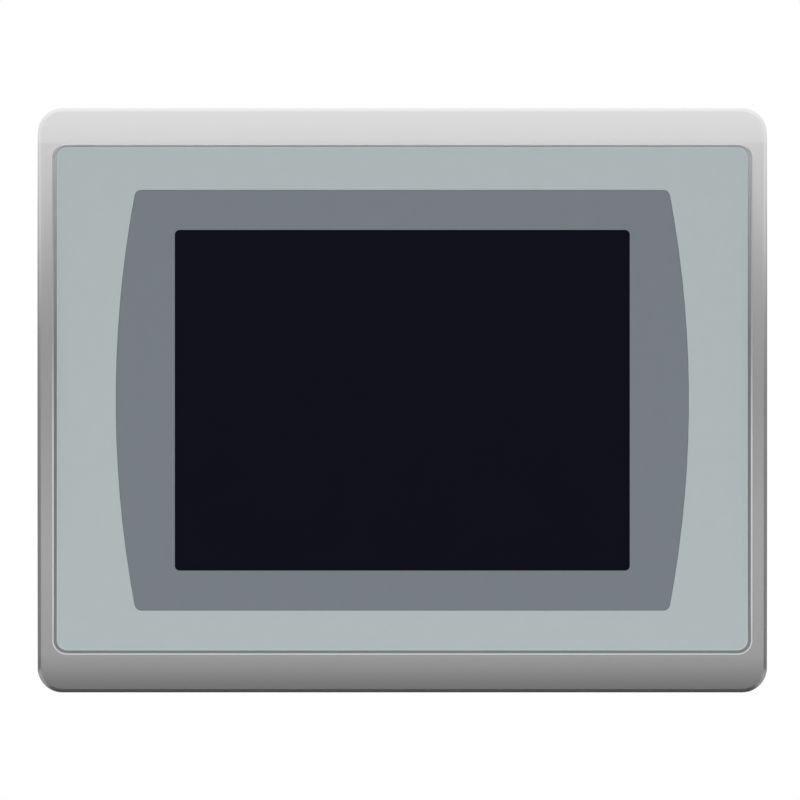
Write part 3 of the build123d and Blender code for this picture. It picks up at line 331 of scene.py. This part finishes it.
@material
def charcoal_metal():
    """Wrinkled powder coat."""
    g = Graph("charcoal_metal")
    wrinkle = g.noise(1900, 4.0, 0.62)
    base = g.tint(srgb(58, 60, 63), g.spread(g.noise(80, 4.0), 0, 1), 0.06)
    round_off = 0.35 * MM
    rubbed = g.both(g.edge(round_off), g.spread(g.noise(400, 4.0), 0.2, 1.0))
    g.set(Base_Color=g.blend(rubbed, base, srgb(96, 98, 101)), Roughness=g.spread(wrinkle, 0.5, 0.66))
    g.set(Normal=g.bump(wrinkle, 40 * MICRON, after=g.rounded(round_off)))
    return g.material


@material
def black_foam():
    g = Graph("black_foam")
    pores = g.cells(2400)
    g.set(Base_Color=g.tint(srgb(30, 30, 31), g.spread(pores, 0, 1, 0.1, 0.6), 0.25), Roughness=0.9)
    g.set(Normal=g.bump(pores, 80 * MICRON))
    return g.material


@material
def zinc_steel():
    """Plated sheet with faint spangle."""
    g = Graph("zinc_steel")
    spangle = g.cells(260)
    grain = g.noise(2500, 3.0, stretch=(1.0, 1.0, 0.15))
    base = g.tint(srgb(186, 189, 192), g.spread(spangle, 0, 1, 0.1, 0.8), 0.08)
    g.set(Base_Color=base, Metallic=0.6, Roughness=g.spread(grain, 0.34, 0.46))
    g.set(Normal=g.bump(grain, 3 * MICRON))
    return g.material


@material
def copper_wire():
    """Enamelled turns, wound round Y."""
    g = Graph("copper_wire")
    turns = g.stripes(520.0, "Y")
    g.set(Base_Color=g.blend(turns, srgb(120, 58, 26), srgb(198, 112, 58)), Metallic=0.8)
    g.set(Roughness=g.spread(g.noise(600), 0.26, 0.36), Normal=g.bump(turns, 50 * MICRON))
    return g.material


def lined_port(node, rim, depth, liner):
    """A steel shield with moulded plastic inside its rim, from the depth upwards."""
    g = Graph(node)
    grain = g.noise(3000, 3.0, 0.6, stretch=(1.0, 1.0, 0.2))
    low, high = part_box(node)
    plastic_low = (low.x + rim, low.y + rim, low.z + depth)
    plastic_high = (high.x - rim, high.y - rim, high.z - rim)
    moulded = g.inside(plastic_low, plastic_high)
    steel = g.tint(PORT_STEEL, g.spread(g.noise(110, 5.0), 0, 1), 0.06)
    g.set(Base_Color=g.blend(moulded, steel, g.tint(liner, g.spread(g.noise(300), 0, 1), 0.05)))
    g.set(Metallic=g.spread(moulded, 0.7, 0.0, 0.0, 1.0), Roughness=g.spread(grain, 0.26, 0.4))
    g.set(Normal=g.bump(grain, 3 * MICRON, after=g.rounded(METAL_ROUND)))
    return g.material


@material
def amber_flex():
    g = Graph("amber_flex")
    tracks = g.spread(g.stripes(320.0, "X"), 0, 1, 0.45, 0.55)
    g.set(Base_Color=g.blend(tracks, srgb(176, 98, 28), srgb(206, 132, 52)))
    g.set(Roughness=g.spread(g.noise(400), 0.28, 0.4))
    return g.material


@material
def white_flex():
    g = Graph("white_flex")
    tracks = g.spread(g.stripes(250.0, "X"), 0, 1, 0.4, 0.6)
    g.set(Base_Color=g.blend(tracks, srgb(196, 198, 200), srgb(228, 228, 226)))
    g.set(Roughness=g.spread(g.noise(400), 0.35, 0.45))
    return g.material


@material
def green_board():
    """Solder mask over groups of parallel tracks, some along X and some along Z."""
    g = Graph("green_board")
    tracks = 0.0
    for turn, patch_scale in ((0.0, 55), (math.pi / 2, 70)):
        laid = {"Vector": g.place, "Rotation": (math.pi / 2, 0, turn)}
        flat = g.add("ShaderNodeMapping", laid).outputs["Vector"]
        rows = {"Vector": flat, "Scale": 420.0, "Mortar Size": 0.06, "Brick Width": 9.0, "Row Height": 0.3}
        lines = g.add("ShaderNodeTexBrick", rows).outputs["Fac"]
        patch = g.above(g.noise(patch_scale, 1.0), 0.52, 0.02)
        tracks = g.math("MAXIMUM", tracks, g.both(lines, patch))
    mask = g.tint(srgb(20, 92, 56), g.spread(g.noise(90), 0, 1), 0.1)
    g.set(Base_Color=g.blend(tracks, mask, srgb(40, 128, 78)))
    g.set(Roughness=g.spread(g.noise(300), 0.24, 0.36), Normal=g.bump(tracks, 10 * MICRON))
    return g.material


@material
def clear_acrylic():
    g = Graph("clear_acrylic")
    g.set(Base_Color=g.tint(srgb(225, 230, 232), g.spread(g.noise(90), 0, 1), 0.02), IOR=1.49)
    g.set(Transmission_Weight=0.85, Roughness=g.spread(g.noise(500), 0.06, 0.14))
    return g.material


@material
def screen_glass():
    g = Graph("screen_glass")
    g.set(Base_Color=g.tint(srgb(40, 42, 48), g.spread(g.noise(60), 0, 1), 0.05))
    g.set(Roughness=g.spread(g.noise(300), 0.04, 0.09), IOR=1.52)
    return g.material


@material
def screen_glass_dark():
    g = Graph("screen_glass_dark")
    g.set(Base_Color=g.tint(srgb(22, 22, 28), g.spread(g.noise(60), 0, 1), 0.05))
    g.set(Roughness=g.spread(g.noise(300), 0.05, 0.1), IOR=1.52)
    return g.material


@material
def label_film():
    """Satin silver foil with an empty printed table: a frame and its rules."""
    g = Graph("label_film")
    grain = g.noise(3500, 2.0, stretch=(0.1, 1.0, 1.0))
    foil = g.tint(srgb(206, 207, 206), g.spread(grain, 0, 1), 0.03)
    low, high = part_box("rating_label")
    margin, header_h, row_h, line = 2 * MM, 9 * MM, 8 * MM, 0.35 * MM
    left, right, bottom, top = low.x + margin, high.x - margin, low.z + margin, high.z - margin
    header, middle = top - header_h, (left + right) / 2
    ink = g.within((left, header), (right, top), 1 * MM)
    rules = [((left, z), (right, z + line)) for z in (bottom, header - row_h, header - 2 * row_h)]
    rules += [((x, bottom), (x + line, header)) for x in (left, middle, right - line)]
    for start, end in rules:
        ink = g.math("MAXIMUM", ink, g.within(start, end, soft=0.05 * MM))
    g.set(Base_Color=g.blend(ink, foil, srgb(70, 74, 80)), Metallic=g.spread(ink, 0.6, 0.0, 0.0, 1.0))
    g.set(Roughness=g.spread(grain, 0.34, 0.44), Normal=g.bump(grain, 4 * MICRON))
    return g.material


# Each with its colour, then its roughness, and the fineness and depth of its grain

PLASTICS = {
    "charcoal_cover": (srgb(52, 54, 57), 0.55, 2200, 20 * MICRON),
    "black_rubber": (srgb(32, 32, 33), 0.7, 1500, 30 * MICRON),
    "black_aluminium": (srgb(50, 51, 54), 0.36, 2400, 8 * MICRON),
    "lever_grey": (srgb(142, 145, 148), 0.42, 1800, 12 * MICRON),
    "black_plastic": (srgb(28, 28, 30), 0.45),
    "ivory_plastic": (srgb(205, 200, 184), 0.4),
    "white_plastic": (srgb(224, 224, 220), 0.45),
    "green_plastic": (srgb(38, 122, 74), 0.38, 2400, 6 * MICRON),
    "orange_plastic": (srgb(214, 98, 28), 0.4, 2400, 6 * MICRON),
    "chip_black": (srgb(26, 26, 28), 0.5, 5000, 8 * MICRON),
    "component_mix": (srgb(46, 44, 42), 0.42),
    "ferrite": (srgb(54, 54, 56), 0.6, 1800, 20 * MICRON),
    "yellow_tape": (srgb(208, 176, 52), 0.4, 900, 10 * MICRON),
    "can_sleeve": (srgb(34, 36, 58), 0.32, 700, 4 * MICRON),
    "ceramic_tan": (srgb(150, 122, 88), 0.45, 3000, 6 * MICRON),
}

# Each with its colour, its roughness, and how its grain is stretched where it is brushed

METALS = {
    "bright_steel": (srgb(200, 201, 203), 0.26, (1.0, 0.2, 1.0)),
    "screw_steel": (srgb(196, 194, 186), 0.3),
    "black_screw": (srgb(62, 62, 64), 0.36),
    "brass": (srgb(214, 178, 104), 0.28),
    "nickel_brass": (srgb(206, 200, 182), 0.27),
    "lever_zinc": (srgb(168, 170, 173), 0.34),
    "gold_plate": (srgb(224, 182, 92), 0.22),
    "can_metal": (srgb(198, 199, 201), 0.3),
}


# Finish of every CAD node, from the record. Each port has the width of its steel rim, how far up from its
# face the plastic inside it starts, and the colour of that plastic.

PORTS = {
    "ethernet_jack": (0.6 * MM, 0.25 * MM, srgb(24, 24, 26)),
    "usb_device_port": (0.5 * MM, -1 * MM, srgb(30, 30, 32)),
    "usb_host_port": (0.6 * MM, 0.1 * MM, srgb(26, 26, 28)),
    "sd_card_socket": (0.45 * MM, 0.3 * MM, srgb(28, 28, 30)),
}


def dress_nodes():
    for part in frame["record"]["subparts"]:
        name = part["node"]
        finish = lined_port(name, *PORTS[name]) if name in PORTS else finish_of(part["material_slot"])
        NODES[name].data.materials.clear()
        NODES[name].data.materials.append(finish)


# Shapes: closed shells lofted through rings of points


class Form:
    """A mesh made of closed shells, each with its own finish."""

    def __init__(self):
        self.mesh = bmesh.new()
        self.finishes = []

    def loft(self, rings, finish):
        if finish not in self.finishes:
            self.finishes.append(finish)
        index = self.finishes.index(finish)
        loops = [[self.mesh.verts.new(point) for point in ring] for ring in rings]
        faces = [self.mesh.faces.new(loops[0]), self.mesh.faces.new(loops[-1][::-1])]
        for lower, upper in zip(loops, loops[1:]):
            for i in range(len(lower)):
                j = (i + 1) % len(lower)
                faces.append(self.mesh.faces.new((lower[j], lower[i], upper[i], upper[j])))
        for face in faces:
            face.material_index = index
            face.smooth = True

    def block(self, x, y, z, finish, corner=0.4 * MM, bevel=0.15 * MM):
        """A moulded block with rounded corners seen along Y and bevelled ends."""
        middle = ((x[0] + x[1]) / 2, (z[0] + z[1]) / 2)
        half = ((x[1] - x[0]) / 2, (z[1] - z[0]) / 2)

        def ring(at_y, inset):
            points = []
            for quarter, (sx, sz) in enumerate(((1, 1), (-1, 1), (-1, -1), (1, -1))):
                centre_x = middle[0] + sx * (half[0] - corner)
                centre_z = middle[1] + sz * (half[1] - corner)
                for step in range(4):
                    turn = math.radians(90 * quarter + 30 * step)
                    out_x, out_z = (corner - inset) * math.cos(turn), (corner - inset) * math.sin(turn)
                    points.append((centre_x + out_x, at_y, centre_z + out_z))
            return points

        steps = [(y[0], bevel), (y[0] + bevel, 0), (y[1] - bevel, 0), (y[1], bevel)]
        self.loft([ring(*step) for step in steps], finish)

    def turned(self, x, z, profile, finish, sides=32):
        """A round body about an axis along Y. The profile is its radius at each Y."""
        turns = [math.radians(360 * i / sides) for i in range(sides)]
        rings = [[(x + r * math.cos(t), y, z + r * math.sin(t)) for t in turns] for r, y in profile]
        self.loft(rings, finish)

    def ribbon(self, x, route, width, thickness, finish):
        """A flat strip across X that follows a route of (y, z) points."""
        rings = []
        for i, (y, z) in enumerate(route):
            before, after = Vector(route[max(i - 1, 0)]), Vector(route[min(i + 1, len(route) - 1)])
            along = (after - before).normalized()
            dy, dz = -along.y * thickness / 2, along.x * thickness / 2
            left, right = x - width / 2, x + width / 2
            one_face = [(left, y - dy, z - dz), (right, y - dy, z - dz)]
            other_face = [(right, y + dy, z + dz), (left, y + dy, z + dz)]
            rings.append(one_face + other_face)
        self.loft(rings, finish)

    def piece(self, name, body, replaced=()):
        bmesh.ops.recalc_face_normals(self.mesh, faces=self.mesh.faces)
        mesh = bpy.data.meshes.new(name)
        self.mesh.to_mesh(mesh)
        self.mesh.free()
        mesh.set_sharp_from_angle(angle=math.radians(35))
        for finish in self.finishes:
            mesh.materials.append(finish_of(finish))
        made = bpy.data.objects.new(name, mesh)
        bpy.context.scene.collection.objects.link(made)
        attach(made, body)
        if replaced:
            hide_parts(*replaced)


# The parts on the boards. The lists give places and sizes in millimetres, along X and then Z.

POWER_CANS = [(36, -14), (36, -3), (46, -14), (46, -3)]
POWER_CAN_R = 3.95 * MM
POWER_CAN_H = 14 * MM
POWER_COIL = (24, 10)
POWER_COIL_R = 5.9 * MM
POWER_COIL_H = 8 * MM
CORE_X = (-11.9 * MM, 9.9 * MM)
CORE_Z = (-3.9 * MM, 15.9 * MM)
CORE_LIFT = 2 * MM
CORE_TOP = 12.9 * MM
CORE_LEG = 4.2 * MM
MAIN_CHIPS = [  # place, size, and how many leads on each long side
    (-11, -31, 9, 6, 9), (12, -31, 6, 4, 5), (-48, -26, 10, 6.5, 8), (-34, 41, 13, 6, 12),
    (-60, 40, 5, 4, 4), (2, 44, 8, 4, 7), (-28, -12, 9, 5, 8),
]
POWER_CHIPS = [(-44, 10, 8, 5, 6)]
MAIN_CANS = [(56, 22, 6), (64, 22, 6), (-64, -38, 7), (-56, -38, 7)]  # place and height
MAIN_CAN_R = 3.1 * MM
MAIN_COILS = [(-68, -22), (-56, -22)]
MAIN_COIL_R = 3.4 * MM
MAIN_COIL_H = 3.5 * MM
MAIN_ROWS = [  # place of the first small part, and how many stand in the row
    (-18, 36, 5), (-22, 47.5, 8), (-24, -38, 9), (-20, -25, 7), (-22, -4, 6), (54, 34, 5),
]
POWER_ROW = (-48, -2, 6)
ROW_PITCH = 3.2
CRYSTAL_X = (26 * MM, 31 * MM)
CRYSTAL_Z = (-34 * MM, -30.8 * MM)
CRYSTAL_H = 1.4 * MM
CHIP_STAND = 0.1 * MM
CHIP_TOP = 1.0 * MM
LEAD_IN = 0.2 * MM  # how far a lead reaches into its chip
LEAD_T = 0.14 * MM
MEMORY_SIZE = (9 * MM, 11 * MM)
MEMORY_MIDDLE = 0.55 * MM  # from the board
MEMORY_LEADS = 11
MEMORY_PITCH = 0.75


def electrolytic(form, x, z, y, radius, sleeve="can_sleeve"):
    """A can in a shrunk sleeve, with its rolled groove above the board and a metal top."""
    groove = y[0] + radius * 0.5
    lip = 0.35 * MM
    top_r = radius * 0.8
    form.turned(x, z, [
        (radius * 0.9, y[0]), (radius, y[0] + lip), (radius, groove - lip), (radius * 0.92, groove),
        (radius, groove + lip), (radius, y[1] - lip * 1.5), (radius * 0.94, y[1] - lip * 0.4),
        (top_r, y[1] - lip * 0.4),
    ], sleeve)
    form.turned(x, z, [(top_r, y[1] - lip), (top_r, y[1] - 0.05 * MM), (radius * 0.7, y[1])], "can_metal")


def choke(form, x, z, y, radius):
    """A drum core with its winding."""
    flange = (y[1] - y[0]) * 0.18
    core = radius * 0.8
    form.turned(x, z, [
        (radius * 0.95, y[0]), (radius, y[0] + flange * 0.3), (radius, y[0] + flange), (core, y[0] + flange),
        (core, y[1] - flange), (radius, y[1] - flange), (radius, y[1] - flange * 0.3), (radius * 0.95, y[1]),
    ], "ferrite")
    winding = radius * 0.93
    form.turned(x, z, [
        (winding - 0.3 * MM, y[0] + flange), (winding, y[0] + flange * 1.3), (winding, y[1] - flange * 1.3),
        (winding - 0.3 * MM, y[1] - flange),
    ], "copper_wire")


def bent_lead(form, x, side, bends, y, middle_y, width):
    """From its root in a chip's side out to a knee, down, and along the board to its foot."""
    root, knee, foot = bends
    heel = (y + 0.12 * MM, knee + side * 0.1 * MM)
    route = [(middle_y, root), (middle_y, knee), heel, (y + 0.07 * MM, foot)]
    form.ribbon(x, route, width, LEAD_T, "can_metal")


def chip(form, x, z, size, y, leads):
    """A moulded chip whose bent leads stand on the board along its two long sides."""
    lead_out = 0.9 * MM
    half_x, half_z = size[0] / 2, size[1] / 2
    span_x, span_z = (x - half_x, x + half_x), (z - half_z, z + half_z)
    form.block(span_x, (y + CHIP_STAND, y + CHIP_TOP), span_z, "chip_black", 0.25 * MM)
    pitch = (size[0] - 1.2 * MM) / (leads - 1)
    for i in range(leads):
        lead_x = x - (leads - 1) * pitch / 2 + i * pitch
        for side in (-1, 1):
            bends = [z + side * (half_z + reach) for reach in (-LEAD_IN, lead_out * 0.4, lead_out)]
            bent_lead(form, lead_x, side, bends, y, y + CHIP_TOP / 2, pitch * 0.45)


def passive(form, x, z, y, body="ceramic_tan"):
    """A chip capacitor or resistor: a body between two tinned ends."""

    def part(middle, half_x, half_z, height, finish):
        x_span, z_span = (middle - half_x, middle + half_x), (z - half_z, z + half_z)
        form.block(x_span, (y, y + height), z_span, finish, 0.1 * MM, 0.05 * MM)

    part(x, 0.55 * MM, 0.6 * MM, 0.75 * MM, body)
    for side in (-1, 1):
        part(x + side * 0.8 * MM, 0.3 * MM, 0.64 * MM, 0.8 * MM, "can_metal")


def power_parts():
    """Transformer, choke and capacitors, in the place of their plain solids."""
    board_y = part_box("power_components")[0].y
    form = Form()
    for x, z in POWER_CANS:
        electrolytic(form, x * MM, z * MM, (board_y, board_y + POWER_CAN_H), POWER_CAN_R)
    x, z = POWER_COIL
    choke(form, x * MM, z * MM, (board_y, board_y + POWER_COIL_H), POWER_COIL_R)
    (left, right), (bottom, top) = CORE_X, CORE_Z
    core_y = (board_y + CORE_LIFT, board_y + CORE_TOP)
    coil_x, coil_z = (left + CORE_LEG, right - CORE_LEG), (bottom + CORE_LEG, top - CORE_LEG)
    bevel = 0.3 * MM
    for bar_z in ((bottom, coil_z[0]), (coil_z[1], top)):
        form.block(CORE_X, core_y, bar_z, "ferrite", 0.5 * MM, bevel)
    for bar_x in ((left, coil_x[0]), (coil_x[1], right)):
        form.block(bar_x, core_y, coil_z, "ferrite", 0.3 * MM, bevel)
    coil_y = (core_y[0] + 1 * MM, core_y[1] - 1.2 * MM)
    form.block(coil_x, coil_y, coil_z, "yellow_tape", 1.5 * MM, 0.4 * MM)
    foot_x, foot_z = (left + 1 * MM, right - 1 * MM), (bottom + 1 * MM, top - 1 * MM)
    form.block(foot_x, (board_y, core_y[0]), foot_z, "black_plastic")
    form.piece("power_parts", "housing", ["power_components"])


def board_parts():
    """Small parts soldered to the back of the main board and the power board."""
    main_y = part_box("main_board")[1].y
    power_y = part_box("power_board")[1].y
    form = Form()
    for y, chips in ((main_y, MAIN_CHIPS), (power_y, POWER_CHIPS)):
        for x, z, width, height, leads in chips:
            chip(form, x * MM, z * MM, (width * MM, height * MM), y, leads)
    for x, z, height in MAIN_CANS:
        electrolytic(form, x * MM, z * MM, (main_y, main_y + height * MM), MAIN_CAN_R, "can_metal")
    for x, z in MAIN_COILS:
        choke(form, x * MM, z * MM, (main_y, main_y + MAIN_COIL_H), MAIN_COIL_R)
    for first_x, z, count in MAIN_ROWS:
        for i in range(count):
            body = "ceramic_tan" if i % 3 else "chip_black"
            passive(form, (first_x + ROW_PITCH * i) * MM, z * MM, main_y, body)
    first_x, z, count = POWER_ROW
    for i in range(count):
        passive(form, (first_x + ROW_PITCH * i) * MM, z * MM, power_y)
    form.block(CRYSTAL_X, (main_y, main_y + CRYSTAL_H), CRYSTAL_Z, "can_metal", 0.9 * MM, 0.2 * MM)
    form.piece("board_parts", "housing")


def memory_leads():
    """The bent leads of the four memory chips."""
    low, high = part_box("memory_chips")
    half_x, half_z = MEMORY_SIZE[0] / 2, MEMORY_SIZE[1] / 2
    form = Form()
    for x in (low.x + half_x, high.x - half_x):
        for z in (low.z + half_z, high.z - half_z):
            for i in range(MEMORY_LEADS):
                lead_x = x + (i - (MEMORY_LEADS - 1) / 2) * MEMORY_PITCH * MM
                for side in (-1, 1):
                    root = z + side * (half_z - LEAD_IN)
                    bends = (root, root + side * 0.5 * MM, root + side * 1.0 * MM)
                    bent_lead(form, lead_x, side, bends, low.y, low.y + MEMORY_MIDDLE, 0.34 * MM)
    form.piece("memory_leads", "housing")


# The contacts in the ports, each with its route in Y and in Z up from the port's face

PLUG_CONTACTS = 8
PLUG_PITCH = 1.02
PLUG_ROOT = 2.55 * MM  # from the board
PLUG_ROUTE = [(0, 1.2), (0, 2.4), (0.5, 3.2), (3, 10.5), (3, 12.9)]
TONGUE_W = 1.1 * MM
TONGUE_T = 0.16 * MM
TONGUE_STAND = 0.14
FLAT_ROUTE = [(0, 1.6), (TONGUE_STAND, 2.0), (TONGUE_STAND, 8.5), (0, 9.2)]
FLAT_PLACES = (-3.5, -1.0, 1.0, 3.5)
FLAT_FACE = 3.2 * MM  # from the back of the port
SQUARE_ROUTE = [(0, 1.6), (TONGUE_STAND, 2.0), (TONGUE_STAND, 8.0), (0, 8.6)]
SQUARE_PLACES = (-1.25, 1.25)
SQUARE_FACE = 1.55 * MM  # from the middle of its tongue


def port_contacts():
    """Sprung wires in the network socket and flat contacts on the tongues of the two others."""
    form = Form()

    def contact(x, face, side, bottom, route, width, thickness):
        points = [(face + side * y * MM, bottom + z * MM) for y, z in route]
        form.ribbon(x, points, width, thickness, "gold_plate")

    low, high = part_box("ethernet_jack")
    middle = (low.x + high.x) / 2
    for i in range(PLUG_CONTACTS):
        x = middle + (i - (PLUG_CONTACTS - 1) / 2) * PLUG_PITCH * MM
        contact(x, low.y + PLUG_ROOT, 1, low.z, PLUG_ROUTE, 0.42 * MM, 0.36 * MM)
    low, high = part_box("usb_host_port")
    middle = (low.x + high.x) / 2
    for place in FLAT_PLACES:
        contact(middle + place * MM, high.y - FLAT_FACE, 1, low.z, FLAT_ROUTE, TONGUE_W, TONGUE_T)
    low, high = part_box("usb_device_port")
    middle, middle_y = (low.x + high.x) / 2, (low.y + high.y) / 2
    for place in SQUARE_PLACES:
        for side in (-1, 1):
            face = middle_y + side * SQUARE_FACE
            contact(middle + place * MM, face, side, low.z, SQUARE_ROUTE, TONGUE_W, TONGUE_T)
    form.piece("port_contacts", "housing")


# Light: how bright the studio is at each height above the horizon, in degrees,
# ahead of the screen and beside it

FRONT_LEVELS = [
    (-90, 0.03), (-40, 0.05), (-22, 0.12), (-16, 0.22), (-12.5, 0.3), (-8.2, 0.42), (-5.6, 0.45),
    (-4.5, 0.56), (-2.6, 0.6), (-1.3, 0.43), (0, 0.4), (1.9, 0.38), (2.7, 0.42), (3.6, 0.62), (4.6, 0.9),
    (5.8, 1.1), (12, 1.12), (20, 1.2), (40, 1.32), (90, 1.4),
]
SIDE_LEVELS = [
    (-90, 0.05), (-60, 0.08), (-48, 0.4), (-16, 0.5), (-9, 0.14), (-5, 0.18), (-3.6, 0.26), (-1.5, 0.25),
    (0.3, 0.24), (1.3, 0.27), (2.2, 0.42), (3, 0.85), (4, 1.22), (30, 1.25), (90, 1.4),
]
ASIDE = (0.24, 0.6)  # where the side levels fade in, as the X of a direction
BEHIND = (0.5, 0.8)  # and as its Y
DOME_STRENGTH = 2.0  # the levels are stored halved, because a ramp's colours end at 1


def make_world():
    """A studio dome, bright overhead and dark below. The camera itself sees white."""
    world = bpy.data.worlds.new("studio")
    bpy.context.scene.world = world
    world.use_nodes = True
    tree = world.node_tree
    tree.nodes.clear()

    def node(kind, links=(), **values):
        made = tree.nodes.new(kind)
        for key, value in values.items():
            made.inputs[key.replace("_", " ")].default_value = value
        for key, source in dict(links).items():
            tree.links.new(source, made.inputs[key])
        return made

    def by_height(levels):
        ramp = node("ShaderNodeValToRGB", {"Fac": height.outputs["Result"]})
        for i, (angle, level) in enumerate(levels):
            at = (math.sin(math.radians(angle)) + 1) / 2
            stop = ramp.color_ramp.elements[i] if i < 2 else ramp.color_ramp.elements.new(at)
            stop.position = at
            stop.color = [level / DOME_STRENGTH] * 3 + [1]
        return ramp.outputs["Color"]

    place = node("ShaderNodeTexCoord")
    split = node("ShaderNodeSeparateXYZ", {"Vector": place.outputs["Generated"]})
    height = node("ShaderNodeMapRange", {"Value": split.outputs["Z"]}, From_Min=-1.0)
    across = node("ShaderNodeMath", {0: split.outputs["X"]})
    across.operation = "ABSOLUTE"
    sideways = node("ShaderNodeMapRange", {"Value": across.outputs[0]}, From_Min=ASIDE[0], From_Max=ASIDE[1])
    behind = node("ShaderNodeMapRange", {"Value": split.outputs["Y"]}, From_Min=BEHIND[0], From_Max=BEHIND[1])
    around = node("ShaderNodeMath", {0: sideways.outputs["Result"], 1: behind.outputs["Result"]})
    around.operation = "MAXIMUM"
    mix = tree.nodes.new("ShaderNodeMix")
    mix.data_type = "RGBA"
    tree.links.new(around.outputs[0], mix.inputs[0])
    tree.links.new(by_height(FRONT_LEVELS), mix.inputs[6])
    tree.links.new(by_height(SIDE_LEVELS), mix.inputs[7])
    dome = node("ShaderNodeBackground", {"Color": mix.outputs[2]}, Strength=DOME_STRENGTH)
    white = node("ShaderNodeBackground", Color=(1, 1, 1, 1))
    ray = node("ShaderNodeLightPath")
    shown = node("ShaderNodeMixShader", {"Fac": ray.outputs["Is Camera Ray"]})
    tree.links.new(dome.outputs[0], shown.inputs[1])
    tree.links.new(white.outputs[0], shown.inputs[2])
    node("ShaderNodeOutputWorld", {"Surface": shown.outputs[0]})


FLOOR_Z = -0.24
FLOOR_R = 1.3
FLOOR_GREY = (0.85, 0.85, 0.85, 1)


def make_floor():
    """A pale disc that isn't seen from underneath, nor in reflections."""
    mesh = bpy.data.meshes.new("floor")
    form = bmesh.new()
    bmesh.ops.create_circle(form, cap_ends=True, segments=96, radius=FLOOR_R)
    form.to_mesh(mesh)
    form.free()
    floor = bpy.data.objects.new("floor", mesh)
    floor.location = (0, 0, FLOOR_Z)
    g = Graph("floor")
    g.set(Base_Color=FLOOR_GREY, Roughness=0.9, Specular_IOR_Level=0.1)
    clear = g.add("ShaderNodeBsdfTransparent").outputs[0]
    underneath = g.add("ShaderNodeNewGeometry").outputs["Backfacing"]
    mixed = g.add("ShaderNodeMixShader", {0: underneath, 1: g.shader.outputs[0], 2: clear}).outputs[0]
    g.feed(g.tree.nodes["Material Output"].inputs["Surface"], mixed)
    mesh.materials.append(g.material)
    bpy.context.scene.collection.objects.link(floor)
    floor.visible_glossy = False


def main():
    make_camera()
    make_world()
    make_floor()
    dress_nodes()
    power_parts()
    board_parts()
    memory_leads()
    port_contacts()
    bpy.context.scene.view_settings.view_transform = "Standard"


main()
